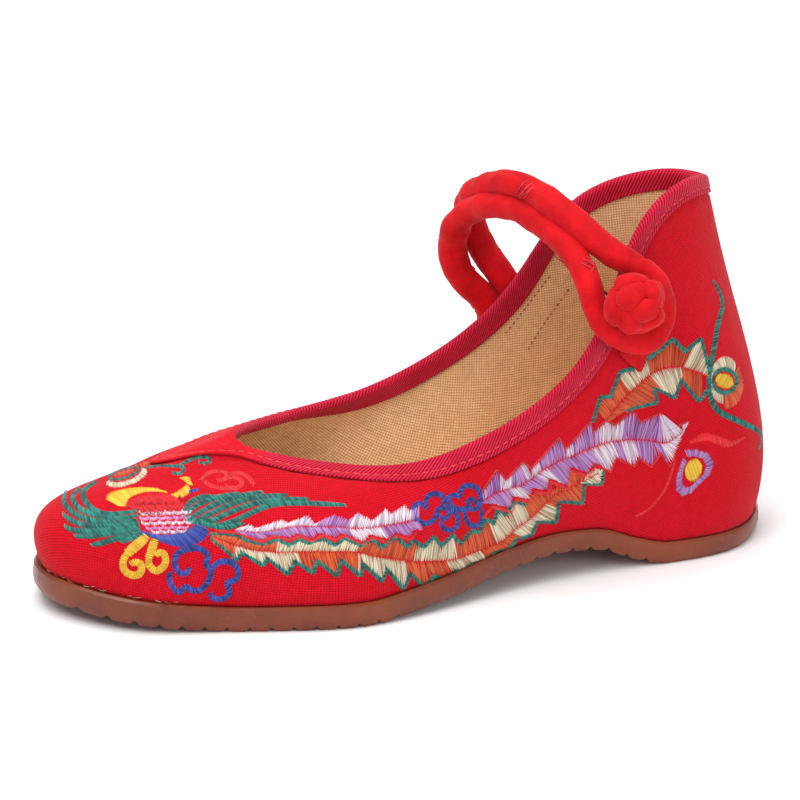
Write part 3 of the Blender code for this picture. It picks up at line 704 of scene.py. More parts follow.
# Collar tape, folded over the edge
PLAIN_ROWS = (8.7, 13.0)   # rows after the heel's between which the overlay is plain
NARROW = 0.40             # share by which the overlay is narrower than the solid one
tape_u = HEEL_ROW + np.linspace(0, len(RIBS), 352, endpoint=False)
edge_skin = Skin(tape_u)
edge_loop = edge_skin.at(0.0)
edge_run = np.linalg.norm(np.diff(np.concatenate([edge_loop, edge_loop[:1]]), axis=0), axis=1)
edge_way = np.concatenate([[0], np.cumsum(edge_run)])
slant = edge_skin.slant
plain_from, plain_to = np.interp([HEEL_ROW + PLAIN_ROWS[0], HEEL_ROW + PLAIN_ROWS[1]],
                                 tape_u, edge_way[:-1])
red_twill = twill_tape("red_twill_tape", plain_from, plain_to)
TAPE_FACE = [                           # share of the tape's width, height off the cloth in mm
    (1.0, -0.1), (1.0, 0.35), (0.985, 0.62), (0.93, 0.74), (0.84, 0.68), (0.77, 0.58), (0.72, 0.42),
    (0.67, 0.58), (0.62, 0.70), (0.54, 0.74), (0.44, 0.75), (0.34, 0.74), (0.24, 0.72),
]
section = []
section_v = []
NARROW_AT = 0.70                        # rib number where the tape is narrowed most
NARROW_SPREAD = 1.15
from_throat = (tape_u - NARROW_AT + len(RIBS) / 2) % len(RIBS) - len(RIBS) / 2
hem = edge_skin.tape * (1 - NARROW * np.exp(-(from_throat / NARROW_SPREAD)**2))
for share, offset in TAPE_FACE:
    section.append(edge_skin.at(hem * share, offset))
    section_v.append(hem / slant * share)
for near, offset in ((1.0, 0.62), (0.45, 0.25), (0.05, -0.45), (-0.12, -1.0)):
    section.append(edge_skin.at(np.maximum(near, 0) * slant, offset)
                   + np.array([0, 0, max(-near, 0) * 1.0]))
    section_v.append(np.full(len(tape_u), near))
for deep, offset in ((0.05, -1.6), (0.5, -2.3), (1.2, -2.7), (2.2, -2.8), (3.4, -2.8),
                     (4.3, -2.72), (4.9, -2.62), (5.5, -2.75), (6.2, -2.8), (6.5, -2.6),
                     (6.5, -2.1)):
    section.append(edge_skin.at(deep * slant, offset))
    section_v.append(np.full(len(tape_u), -deep - 1.0))
section.append(edge_skin.at(1.6 * slant, -1.95))
section_v.append(np.full(len(tape_u), -8.0))
section.append(edge_skin.at(1.6 * slant, -0.2))
section_v.append(np.full(len(tape_u), -9.0))
tape_points = np.stack(section)
rows = len(section)
tape_uv = np.empty((rows + 1, len(tape_u) + 1, 2))
tape_uv[:rows, :, 0] = edge_way
tape_uv[:rows, :-1, 1] = np.stack(section_v)
tape_uv[:rows, -1, 1] = tape_uv[:rows, 0, 1]
tape_uv[rows] = tape_uv[0]
grid("collar_tape", tape_points, red_twill, tape_uv, wrap_rows=True, wrap_columns=True,
     slot="red_twill", replaces=["collar_binding"])


# Stitching: threads as low arched ribbons on a surface


class Thread:
    """Collects stitches of one colour, then makes one piece of them."""

    def __init__(self):
        self.points, self.faces, self.uv, self.shade = [], [], [], []
        self.count = 0

    def stitch(self, line, out, width, rise, sink, shade, ridge=0.5):
        """One stitch along a line of points with outward directions. ridge is its height as a
        share of its width."""
        line = np.asarray(line)
        n = len(line)
        run = unit(np.gradient(line, axis=0))
        side = unit(np.cross(out, run))
        share = np.linspace(-1, 1, n)
        arch = np.sqrt(np.clip(1 - share**4, 0, 1))[:, None]
        thin = (0.5 + 0.5 * np.sqrt(np.clip(1 - share**6, 0, 1)))[:, None]
        base = line + out * (arch * rise - sink)
        left = base - side * width / 2 * thin - out * width * ridge / 2
        right = base + side * width / 2 * thin - out * width * ridge / 2
        crest = base + out * width * ridge * thin
        start = self.count
        self.points.append(np.concatenate([left, crest, right]))
        length = np.concatenate([[0], np.cumsum(np.linalg.norm(np.diff(line, axis=0), axis=1))])
        for row in (0, 1):
            for i in range(n - 1):
                a = start + row * n + i
                b = start + (row + 1) * n + i
                self.faces.append((a, a + 1, b + 1, b))
                self.uv += [(length[i], row), (length[i + 1], row),
                            (length[i + 1], row + 1), (length[i], row + 1)]
        # shade is the stitch's painted sheen: 0 gives the thread's shaded colour, 1 its lit colour.
        self.shade += [shade] * (3 * n)
        self.count += 3 * n

    def make(self, name, material):
        if self.count:
            place(name, np.concatenate(self.points), np.array(self.faces), material,
                  uv=np.array(self.uv) * (1, 0.15), shade=self.shade)


class Even:
    """Repeatable unevenness: the same numbers on every run."""

    def __init__(self, seed):
        self.source = np.random.default_rng(seed)

    def off(self, size):
        return float(self.source.uniform(-size, size))


chance = Even(7)
outer_closed = np.concatenate([outer, outer[:, :1]], axis=1)


def tree_of(points):
    faces, _ = grid_faces(*points.shape[:2])
    return BVHTree.FromPolygons(points.reshape(-1, 3).tolist(), faces.tolist())


cloth_tree = tree_of(outer_closed)
lining_tree = tree_of(np.concatenate([lining_in, lining_in[:, :1]], axis=1))


def pixel_rays(pixels, mirror=False):
    """Start and direction of the camera's ray through each photograph pixel."""
    pixels = np.atleast_2d(pixels)
    side = (pixels[:, :1] - PHOTO / 2) / FOCAL_PIXELS
    high = (PHOTO / 2 - pixels[:, 1:2]) / FOCAL_PIXELS
    rays = unit(-BACK + side * RIGHT + high * UP)
    eye = EYE.copy()
    if mirror:
        rays = rays * (-1, 1, 1)
        eye = eye * (-1, 1, 1)
    return eye, rays


USUAL_REACH = 2440.0      # from the camera to the shoe


def on_cloth(pixels, mirror=False, tree=cloth_tree):
    """Points and outward directions of the cloth under photograph pixels."""
    eye, rays = pixel_rays(pixels, mirror)
    hits = [tree.ray_cast(Vector(eye), Vector(ray)) for ray in rays]
    deep = np.array([hit[3] or np.nan for hit in hits])
    spots, outs = [], []
    for i, (ray, (hit, normal, _, _)) in enumerate(zip(rays, hits)):
        if hit is None:
            known = np.flatnonzero(~np.isnan(deep))
            reach = deep[known[np.abs(known - i).argmin()]] if len(known) else USUAL_REACH
            hit, normal, _, _ = tree.find_nearest(Vector(eye + ray * reach))
        normal = np.array(normal)
        if normal @ ray > 0:
            normal = -normal
        spots.append(np.array(hit))
        outs.append(normal)
    return np.array(spots), np.array(outs)


threads = {name: Thread() for name in THREADS}


LONGEST_HOP = 4.5         # a stitch whose points lie further apart has missed the cloth


def sew(colour, start, end, width=0.36, rise=0.22, mirror=False, tree=cloth_tree):
    """One stitch between two photograph pixels."""
    start = np.asarray(start, float)
    end = np.asarray(end, float)
    steps = int(np.clip(np.linalg.norm(end - start) / 7.0 + 3, 3, 9))
    share = np.linspace(0, 1, steps)[:, None]
    spots, outs = on_cloth(start + (end - start) * share, mirror, tree)
    apart = np.linalg.norm(np.diff(spots, axis=0), axis=1).max()
    if apart > LONGEST_HOP or (mirror and spots[:, 0].max() > 0):
        return
    # Each stitch gets a random painted sheen between the thread's shaded and lit colour.
    threads[colour].stitch(spots, outs, width, rise + chance.off(0.09), 0.04, 0.5 + chance.off(0.5))


def spread(points, smooth=True):
    """A curve through pixel points as a function of the way along it, and its length."""
    points = np.array(points, float)
    if smooth and len(points) > 2:
        curve = open_cubic(points)
        points = curve(np.linspace(0, len(points) - 1, 14 * len(points)))
    steps = np.linalg.norm(np.diff(points, axis=0), axis=1)
    way = np.concatenate([[0], np.cumsum(steps)])

    def at(s):
        s = np.asarray(s, float)
        return np.column_stack([np.interp(s, way, points[:, 0]), np.interp(s, way, points[:, 1])])

    return at, way[-1]


STITCH_STEP = 0.9         # pixels between neighbouring stitches, about 0.28 mm
CORD_STEP = 1.7
CORD_SLOPE = 0.6          # slant of a corded line's stitches, as a share of its half width
SATIN_RISE = 0.3          # millimetres that a satin stitch stands off the cloth
SATIN_UNEVEN = 0.7        # pixels by which its end may miss the rim
PIXEL = 0.31              # millimetres of cloth that a pixel covers


def painted_shade_underlay(colour, at, length, wide, mirror):
    """A flat thread in the dark shaded colour below a line of short stitches: painted shade in the gaps
    between them and along their edges.
    """
    pixels = at(np.linspace(0, length, max(int(length / 2.0), 3)))
    spots, outs = on_cloth(pixels, mirror)
    if mirror and spots[:, 0].max() > 0:
        return
    threads[colour].stitch(spots, outs, wide * PIXEL, 0.05, 0.0, -0.5, 0.06)


def cord_line(colour, points, wide=3.0, smooth=True, slope=CORD_SLOPE, taper=0.0, mirror=False,
              rise=0.36):
    """A line of short slanting satin stitches, like a cord. wide is in pixels."""
    at, length = spread(points, smooth)
    count = max(int(length / CORD_STEP), 2)
    painted_shade_underlay(colour, at, length, wide * 1.02, mirror)
    for s in np.linspace(0, length, count):
        here = at([s])[0]
        run = at([min(s + 1, length)])[0] - at([max(s - 1, 0)])[0]
        run /= max(np.linalg.norm(run), 1e-6)
        across = np.array([-run[1], run[0]])
        share = s / length
        half = wide / 2 * (1 - taper * abs(2 * share - 1)**3) + chance.off(0.12)
        a = here - across * half - run * half * slope
        b = here + across * half + run * half * slope
        sew(colour, a, b, 0.42, rise, mirror)


def barb(points, wide):
    """One barb of a wing: a corded line that thins towards its tip."""
    at, length = spread(points)
    count = max(int(length / 1.8), 3)
    painted_shade_underlay("teal", at, length, wide * 0.98, False)
    for s in np.linspace(0, length, count):
        here = at([s])[0]
        run = at([min(s + 1, length)])[0] - at([max(s - 1, 0)])[0]
        run /= max(np.linalg.norm(run), 1e-6)
        across = np.array([-run[1], run[0]])
        share = s / length
        half = wide / 2 * (0.42 + 0.58 * math.sin(math.pi * min(0.10 + share * 0.78, 1)))
        sew("teal", here - across * half - run * 1.9, here + across * half + run * 1.9, 0.44, 0.42)


def satin(colours, middle, rim, lean=0.0, mirror=False):
    """Satin from a middle line out to a rim. colours is one name, or a list of (x, name):
    the stitches whose start lies left of x take that name."""
    at, length = spread(middle)
    fine = np.linspace(0, length, 400)
    spots = at(fine)
    rim_at, rim_length = spread(rim, False)
    rim_fine = rim_at(np.linspace(0, rim_length, 500))
    near = ((rim_fine[:, None] - spots[None])**2).sum(axis=2).argmin(axis=1)
    key = np.maximum.accumulate(fine[near] + np.arange(len(near)) * 1e-6)
    for s in np.arange(0, length, STITCH_STEP):
        start = at([s])[0]
        goal = s + lean
        end = np.array([np.interp(goal, key, rim_fine[:, 0]), np.interp(goal, key, rim_fine[:, 1])])
        if goal < key[0] or np.linalg.norm(end - start) < 1.5:
            continue
        way = (end - start) / np.linalg.norm(end - start)
        end = end + way * chance.off(SATIN_UNEVEN)
        start = start + way * chance.off(0.4)
        colour = colours
        if not isinstance(colours, str):
            colour = next((name for x, name in colours if start[0] < x), colours[-1][1])
        turn = np.array([-way[1], way[0]]) * chance.off(0.8)
        sew(colour, start - turn, end + turn, 0.34, SATIN_RISE, mirror)


def between(colour, side_a, side_b, step=STITCH_STEP, smooth=True, mirror=False, rise=0.3,
            jitter=0.5):
    """Satin between two lines that run side by side."""
    at_a, long_a = spread(side_a, smooth)
    at_b, long_b = spread(side_b, smooth)
    count = max(int(max(long_a, long_b) / step), 2)
    for share in np.linspace(0, 1, count):
        a = at_a([share * long_a])[0]
        b = at_b([share * long_b])[0]
        way = unit(b - a)
        sew(colour, a - way * chance.off(jitter), b + way * chance.off(jitter), 0.36, rise, mirror)


def oval(centre, wide, high, turn=0.0, start=0.0, end=360.0, count=24):
    angle = np.radians(np.linspace(start, end, count))
    x = wide * np.cos(angle)
    y = high * np.sin(angle)
    c, s = math.cos(math.radians(turn)), math.sin(math.radians(turn))
    return np.column_stack([centre[0] + x * c - y * s, centre[1] + x * s + y * c])


def run_stitch(colour, points, long_stitch=6.0, gap=2.0, wide=0.4, tree=cloth_tree):
    """A row of separate stitches along pixel points."""
    at, length = spread(points)
    s = 0.0
    while s + long_stitch < length:
        sew(colour, at([s])[0], at([s + long_stitch])[0], wide, 0.2, False, tree)
        s += long_stitch + gap


# Phoenix body
LEFT_WING = [
    [(136, 511), (112, 514), (96, 511), (86, 502), (84, 491), (96, 482)],
    [(137, 515), (118, 518), (93, 514), (78, 507), (73, 497), (80, 489)],
    [(137, 520), (106, 522), (84, 518), (70, 510), (64, 501), (66, 492)],
    [(138, 523), (100, 526), (81, 524), (71, 520), (63, 514)],
    [(139, 526), (112, 529), (92, 531), (74, 530), (65, 526)],
    [(139, 529), (106, 534), (89, 536), (75, 536)],
    [(140, 532), (121, 537), (105, 542), (92, 545)],
    [(141, 534), (131, 538), (121, 542)],
]
RIGHT_WING = [
    [(184, 511), (190, 503), (203, 497), (217, 497)],
    [(187, 515), (196, 506), (216, 498), (238, 493)],
    [(190, 518), (206, 509), (232, 498), (262, 492)],
    [(196, 521), (216, 511), (248, 499), (287, 495)],
    [(202, 524), (226, 514), (262, 502), (308, 499)],
    [(210, 527), (236, 520), (262, 508), (292, 503), (345, 505)],
    [(188, 521), (206, 524), (224, 527), (243, 523)],
    [(186, 517), (200, 521), (216, 519), (234, 509)],
]
for line in LEFT_WING + RIGHT_WING:
    barb(line, 6.4)
BODY_PATCHES = [
    # colour, one side, the other side, pixels between its stitches
    ("yellow", [(106, 499), (109, 493), (121, 489), (141, 487), (156, 488), (167, 492)],
     [(119, 506), (127, 506), (128, 501), (134, 496), (148, 492), (167, 493)], STITCH_STEP),
    ("yellow", [(171, 494), (179, 490), (186, 484)], [(173, 498), (184, 497), (191, 491)], STITCH_STEP),
    ("yellow", [(179, 478), (184, 481), (188, 485)], [(190, 477), (191, 481), (193, 485)], STITCH_STEP),
    ("blue", [(189, 489), (194, 488), (199, 489)], [(190, 494), (193, 493), (199, 490)], STITCH_STEP),
    ("blue", [(142, 530), (155, 534), (171, 534), (185, 530), (195, 524)],
     [(141, 533), (156, 540), (172, 546), (190, 547), (206, 539), (209, 530)], STITCH_STEP),
    ("red", [(124, 503), (138, 495.5), (154, 492.5), (172, 494)],
     [(130, 507), (141, 504), (158, 503), (180, 503)], 1.4),
    ("red", [(128, 505), (142, 503), (160, 502.5), (182, 501.5)],
     [(136, 511), (146, 512.5), (164, 513), (184, 510)], 1.4),
]
for colour, side_a, side_b, step in BODY_PATCHES:
    between(colour, side_a, side_b, step)
NECK_ROWS = [(134, 158, 511), (133, 172, 507), (136, 180, 502), (142, 180, 497)]    # start x, end x, y
NECK_PITCH = 7.5
SCALE_PITCH = 8.5
for row, (x0, x1, y) in enumerate(NECK_ROWS):
    for x in np.arange(x0, x1, NECK_PITCH):
        arc = oval((x + 4, y - row * 0.5), 4.6, 4.2, -15, 180, 20, 9)
        between("wine", arc, oval((x + 4, y + 1.5), 2.0, 1.2, -15, 180, 20, 9), rise=0.5, step=1.5)
SCALES = [
    # start x, end x, y, colour
    (140, 184, 513, "white"),
    (140, 188, 518, "pink"),
    (142, 190, 523, "white"),
    (146, 188, 528, "pink"),
    (152, 184, 532, "white"),
]
for x0, x1, y, colour in SCALES:
    for x in np.arange(x0, x1, SCALE_PITCH):
        tilt = (x - 140) * 0.03
        between(colour, oval((x + 4, y - tilt), 4.8, 3.2, 5, 0, 180, 9),
                oval((x + 4, y - 2 - tilt), 4.2, 1.2, 5, 0, 180, 9), step=1.1, jitter=0.3)

# Curls and clouds
CURLS = [
    # colour, line, width, slope of its stitches
    ("yellow", [(146, 536), (138, 544), (128, 553)], 10.5, 0.1),
    ("yellow", [(130, 550), (123.5, 560), (124, 569), (130, 574.5), (137, 575), (141.5, 571),
                (141, 565), (136, 562), (131, 564)], 7.6, 0.1),
    ("yellow", [(155, 540), (152, 549), (149, 557)], 8.6, 0.1),
    ("yellow", [(149, 555), (149, 564), (154, 570), (160, 569.5), (165, 563.5), (165, 556),
                (160.5, 552.5), (156, 555)], 7.2, 0.1),
    ("blue", [(189, 568), (185.5, 574), (178, 571), (175, 562), (178, 553.6), (188, 549),
              (200, 549), (208, 556.5), (206, 564), (210.5, 570), (209, 580), (203, 588),
              (194, 591), (185.5, 587), (181, 591.7), (174, 589), (169.5, 580),
              (170, 572.6)], 6.4, CORD_SLOPE),
    ("blue", [(211, 570), (219, 562.5), (231, 562.5), (238, 571), (235.4, 580), (227.5, 583),
              (229.5, 592), (222, 599), (212, 597.5), (210.5, 593)], 6.4, CORD_SLOPE),
]
for colour, line, wide, slope in CURLS:
    cord_line(colour, line, wide, slope=slope)
BLUE_CLOUDS = [
    [(426.5, 508), (420, 503.5), (413.5, 509), (418, 520.5), (427, 523.5), (435, 518),
     (438.5, 509.5), (446, 508), (449, 513.5), (445, 519), (440, 516)],
    [(426.5, 508), (426, 501), (430, 495), (438, 494), (443.5, 498.5), (445, 507), (452, 510),
     (457.5, 517), (457.5, 525), (450.5, 530.5), (443.5, 527.5), (440.5, 521)],
    [(460, 497), (454, 495), (449, 499), (452, 506.5), (460, 509.5), (470, 508), (467.5, 502.5),
     (473, 499.5), (477, 504)],
    [(460, 497), (462, 488.5), (470, 485.5), (478.5, 490), (481, 499), (478, 508), (470, 509)],
    [(464.5, 512), (467.5, 522), (474.5, 526), (481, 521.5), (481.5, 510)],
]
for line in BLUE_CLOUDS:
    cord_line("blue", line, 5.6)
RED_CURLS = [
    [(201, 480), (207, 474), (216, 471), (226, 473), (225, 479), (217, 480)],
    [(225, 479), (234, 477), (242, 482), (236, 488), (226, 486)],
    [(203, 480), (210, 485), (221, 488), (236, 488)],
    [(230, 474), (240, 473), (249, 478), (254, 485)],
]
for line in RED_CURLS:
    cord_line("red", line, 4.6, rise=0.4)

# Eye feather on top of the toe
TOE_EYE = (124, 473)
TOE_EYE_EDGE = (124, 473.5)
TOE_EYE_RIM = (125, 475)
TOE_EYE_HALO = (126, 477)
EYE_TURN = -17
TIP_TOP = [(133, 465), (142, 462), (150, 461)]
TIP_LOW = [(134, 468), (142, 467), (150, 465)]
QUILLS = [
    [(143, 469), (155, 466.5), (168, 466), (180, 466.5), (184, 470), (179, 473.5), (172, 472.5)],
    [(178, 466.5), (190, 460), (201, 457), (210, 459.5), (206, 463.5), (199, 462)],
]
between("orange", oval(TOE_EYE, 11, 2.6, EYE_TURN, 180, 360, 12),
        oval(TOE_EYE, 11, 2.6, EYE_TURN, 180, 0, 12))
cord_line("teal", oval(TOE_EYE_EDGE, 15, 4.6, EYE_TURN, 0, 350), 3.2)
between("cream", oval(TOE_EYE_RIM, 17, 5.4, EYE_TURN, -5, 170, 14),
        oval(TOE_EYE_HALO, 22, 9, EYE_TURN, -5, 170, 14))
between("orange", TIP_TOP, TIP_LOW)
for line in QUILLS:
    cord_line("teal", line, 4.0)

# Lavender and white tail feather
LAVENDER_SPINE = [(235, 530.5), (258, 532.5), (273, 530.5), (294, 526.5), (317, 526.5), (341, 527.5),
                  (361, 528.5), (383, 526), (402, 522.5), (419, 519.5)]
satin([(316, "white"), (349, "lavender"), (411, "white"), (999, "lavender")], LAVENDER_SPINE,
      [(236, 529), (250, 524), (256, 528), (282, 519), (288, 522.5), (308, 515), (316, 523.5),
       (335, 514), (349, 519.5), (358, 512.5), (373, 520), (386, 508), (391, 513), (405, 505),
       (411, 510), (419, 501.5)], 4.0)
satin([(347, "lavender"), (381, "white"), (999, "lavender")], LAVENDER_SPINE,
      [(236, 533), (263, 540), (272, 534.5), (291, 537.5), (299, 533.5), (311, 538.5), (322, 533),
       (335, 538), (343, 533), (364, 542), (371, 534.5), (389, 539.5), (396, 533), (410, 536.5),
       (415, 530), (422, 530)], 6.0)
TAIL_SPINE = [(482, 502), (501, 491), (521, 485.5), (538, 474), (557, 462), (570, 457), (587, 450),
              (608, 442.5), (629, 440), (649, 440.5), (663, 443), (678, 437), (688, 422)]
TAIL_UPPER = [(482, 492), (497, 470), (506, 480), (523.5, 461.5), (531, 469), (559, 438),
              (566, 449), (590, 422), (593, 432), (606, 420.5), (615, 425), (633, 410.5), (640, 422),
              (661, 413.5), (666, 431), (688, 421.5)]
TAIL_LOWER = [(482, 514), (491, 503), (510.5, 508), (514, 496.5), (530.5, 499), (533, 488),
              (548, 490), (549, 478), (568.5, 485.5), (571, 467), (588, 473), (595, 463), (610.5, 470.5),
              (616.5, 457), (634.5, 465.5), (639, 457), (651.5, 466), (661, 452), (669.5, 465),
              (675, 455), (688, 422)]
TAIL_COLOURS = [(500, "lavender"), (512, "white"), (528, "lavender"), (541, "white"),
                (566, "lavender"), (574, "white"), (600, "lavender"), (622, "white"),
                (664, "lavender"), (999, "white")]
SHIFTED = [(508, "lavender"), (519, "white"), (536, "lavender"), (546, "white"), (590, "lavender"),
           (612, "white"), (620, "lavender"), (634, "white"), (660, "lavender"), (999, "white")]
for mirror in (False, True):
    satin(TAIL_COLOURS, TAIL_SPINE, TAIL_UPPER, 4.0, mirror=mirror)
    satin(SHIFTED, TAIL_SPINE, TAIL_LOWER, 6.0, mirror=mirror)
ZIGZAGS = [
    [(216, 531), (240, 534), (262, 543), (273, 537), (291, 541), (300, 536.5), (312, 542),
     (323, 536), (336, 541), (344, 536), (365, 545.5), (372, 538), (390, 543), (397, 536.5),
     (411, 540), (416, 533)],
    [(483, 518), (492, 507), (512, 512), (516, 500), (532, 502), (535, 492.5), (549, 494),
     (551, 482), (570, 490), (573, 471.5), (589, 477), (596, 466)],
]
for line in ZIGZAGS:
    cord_line("red", line, 3.6, smooth=False)
cord_line("brick", TAIL_UPPER, 2.4, smooth=False, slope=1.2)
cord_line("red", [(x, y + 1.5) for x, y in TAIL_LOWER[11:20]], 1.6, smooth=False)

# Orange and cream feather with its teal edge
ORANGE_SPINE = [(211, 536.5), (237, 546), (256, 550.5), (282, 552.5), (303, 551.5), (332, 551.5),
                (355, 552), (370, 555.5), (388, 558.5), (410, 561), (435, 561), (456, 559),
                (473, 553), (491, 546.5), (507, 537.5), (519, 526.5), (535, 515), (552, 497),
                (571, 487), (588, 479), (603, 471)]
ORANGE_UPPER = [(211, 534.5), (238, 535.5), (246, 541), (264, 545), (279, 539.5), (289, 546),
                (300, 539.5), (308, 544), (322, 539), (336, 546), (345, 538.5), (362, 546.5),
                (373, 540), (382, 548), (396.5, 537.5), (408, 548), (413, 541), (424, 547.5),
                (434, 537), (441, 546.5), (453, 535.5), (460, 544.5), (472, 531), (478.5, 533),
                (486.5, 519.5), (493.5, 524.5), (498, 509.5), (504, 516.5), (515, 501.5),
                (526, 505), (531, 494), (548.5, 494), (557, 486), (568, 488), (571, 469),
                (586, 476), (595, 467), (603, 470)]
ORANGE_LOWER = [(211, 538.5), (225, 549), (237.5, 560), (242, 552), (263, 565), (267.5, 557.5),
                (288, 574), (295, 560.5), (313, 572.5), (317.5, 560), (337, 575.5), (341.5, 559),
                (360, 575.5), (364, 563.5), (382, 581), (387, 568), (403.5, 588.5), (411, 572.5),
                (425, 588.5), (434, 575.5), (448, 581), (455.5, 570), (467, 574), (473, 563),
                (490, 563.5), (494, 551.5), (508, 549.5), (516.5, 539), (532, 534.5), (537.5, 521),
                (556, 522), (559, 501), (582.5, 503), (584, 483), (602, 484), (603, 471)]
ABOVE = [(276, "orange"), (356, "cream"), (413, "orange"), (457, "cream"), (497, "orange"),
         (531, "cream"), (584, "orange"), (999, "cream")]
BELOW = [(235, "orange"), (297, "cream"), (358, "orange"), (404, "cream"), (446, "orange"),
         (480, "cream"), (512, "orange"), (546, "cream"), (556, "orange"), (580, "orange"),
         (999, "cream")]
satin(ABOVE, ORANGE_SPINE, ORANGE_UPPER, 3.0)
satin(BELOW, ORANGE_SPINE, ORANGE_LOWER, 5.0)
cord_line("teal", ORANGE_UPPER[:30], 5.0, smooth=False)
cord_line("teal", ORANGE_LOWER, 5.4, smooth=False)

# Upper orange feather beside the button
UPPER_SPINE = [(606, 421), (622, 401), (634.5, 388.5), (648.5, 376), (662.5, 369.5), (679.5, 367),
               (691, 370), (708, 375)]
UPPER_TOP = [(593, 422), (601, 397), (610.5, 397.5), (620.5, 372), (633, 369), (646, 360),
             (654, 355), (673, 339.5), (685, 352), (701, 339), (708, 366), (709, 376)]
UPPER_LOW = [(612, 420), (626, 411), (636, 407), (657, 402.5), (654, 386.5), (675, 397.5),
             (681, 379), (699, 401), (710, 388), (709, 377)]
# Eye feather at the heel
HEEL_EYE = (724.5, 381)
PETALS = [
    # colour, inner angles from and to, outer centre, its half sizes, outer angles, points
    ("cream", 180, 320, (725, 380), 15, 24, 180, 310, 14),
    ("orange", -40, 95, (727, 384), 16.5, 25, -45, 100, 14),
    ("cream", 100, 175, (724, 388), 14, 16, 95, 190, 10),
]
RING_EYE = (693.5, 470)
HEEL_WAVE_TOP = [(689, 442), (701, 433.5), (717, 435), (731, 440), (746, 436)]
HEEL_WAVE_LOW = [(692, 444), (706, 441), (718, 445), (731, 447), (746, 437)]
HEEL_STEM = [(675, 460), (668.5, 482), (660, 496.5), (649, 509), (636, 516)]
EYE_STEM = [(713, 281), (719, 291), (722.5, 303), (721.5, 312), (717.5, 327), (714, 349), (710.5, 366),
            (709.5, 383), (711.5, 399.5), (718.5, 411), (731.5, 418), (747, 425), (761, 434),
            (758.5, 449)]
LAVENDER_RING = [(685, 450), (696, 449), (709, 453), (714, 463), (710, 475.5), (699, 485),
                 (691, 493.5), (682, 496.5), (676, 491), (676, 478.5), (679.5, 466), (683, 458)]
for mirror in (False, True):
    satin([(630, "orange"), (651, "cream"), (683, "orange"), (999, "cream")],
          UPPER_SPINE, UPPER_TOP, 3.0, mirror=mirror)
    satin([(650, "orange"), (681, "cream"), (999, "orange")], UPPER_SPINE, UPPER_LOW, 6.0,
          mirror=mirror)
    cord_line("teal", UPPER_TOP, 5.2, smooth=False, mirror=mirror)
    cord_line("teal", UPPER_LOW[1:], 5.0, smooth=False, mirror=mirror)
    for colour, inner_from, inner_to, centre, wide, high, rim_from, rim_to, count in PETALS:
        between(colour, oval(HEEL_EYE, 12.5, 13, 0, inner_from, inner_to, count),
                oval(centre, wide, high, 0, rim_from, rim_to, count), mirror=mirror)
    cord_line("teal", oval(HEEL_EYE, 12.5, 12, 25, 0, 355), 5.6, mirror=mirror)
    between("yellow", oval(HEEL_EYE, 9.0, 8.0, 25, 180, 360, 12),
            oval(HEEL_EYE, 9.0, 8.0, 25, 180, 0, 12), mirror=mirror)
    cord_line("teal", EYE_STEM, 6.4, taper=0.6, slope=0.5, mirror=mirror)
    between("lavender", LAVENDER_RING,
            [(693.5 + (x - 694) * 0.62, 471 + (y - 471) * 0.66)
             for x, y in LAVENDER_RING], mirror=mirror, smooth=False)
    between("yellow", oval(RING_EYE, 8.2, 11.8, 10, 150, 330, 12),
            oval(RING_EYE, 8.2, 11.8, 10, 150, -30, 12), mirror=mirror)
    between("red", HEEL_WAVE_TOP, HEEL_WAVE_LOW, mirror=mirror)
    cord_line("red", HEEL_STEM, 3.0, mirror=mirror)

# Back seam of the upper, guessed: a row of stitches on each side
seam_rows = np.arange(int(SKIN_ROWS * 0.09), SKIN_ROWS)
for beside in (-1.6, 1.6):
    line = surface[:, 0] + np.array([beside, 0, 0])
    spots = []
    for spot in line:
        hit, normal, _, _ = cloth_tree.find_nearest(Vector(spot))
        spots.append((*hit, *normal))
    spots = np.array(spots)
    way = np.concatenate([[0], np.cumsum(np.linalg.norm(np.diff(spots[:, :3], axis=0), axis=1))])
    for s in np.arange(way[seam_rows[0]] + 1.0, way[-1] - 3.0, 2.9):
        at = np.linspace(s, s + 2.3, 5)
        run = np.column_stack([np.interp(at, way, spots[:, k]) for k in range(6)])
        threads["brick"].stitch(run[:, :3], unit(run[:, 3:]), 0.42, 0.16, 0.12, 0.5 + chance.off(0.4))

# Stitch row that holds the tape, two millimetres inside its lower border
row_down = hem - 1.9 * edge_skin.slant
row_spots = edge_skin.at(row_down, 0.58)
row_outs = unit(edge_skin.read(edge_skin.out, row_down))
row_spots = np.concatenate([row_spots, row_spots[:1]])
row_outs = np.concatenate([row_outs, row_outs[:1]])
row_way = np.concatenate([[0], np.cumsum(np.linalg.norm(np.diff(row_spots, axis=0), axis=1))])
s = 0.0
while s < row_way[-1] - 3.0:
    at = np.linspace(s, s + 2.5 + chance.off(0.2), 5)
    line = np.column_stack([np.interp(at, row_way, row_spots[:, k]) for k in range(3)])
    outs = np.column_stack([np.interp(at, row_way, row_outs[:, k]) for k in range(3)])
    threads["brick"].stitch(line, unit(outs), 0.50, 0.20, 0.10, 0.8 + chance.off(0.2))
    s += 3.05

# Rows of stitches that hold the strap's ends, seen on the lining
STRAP_ROWS = [
    [(550, 276), (537, 293), (521, 314), (505, 334)],
    [(569, 289), (556, 307), (540, 330), (526, 353)],
]
for line in STRAP_ROWS:
    run_stitch("rust", line, 3.4, 2.4, 0.5, lining_tree)
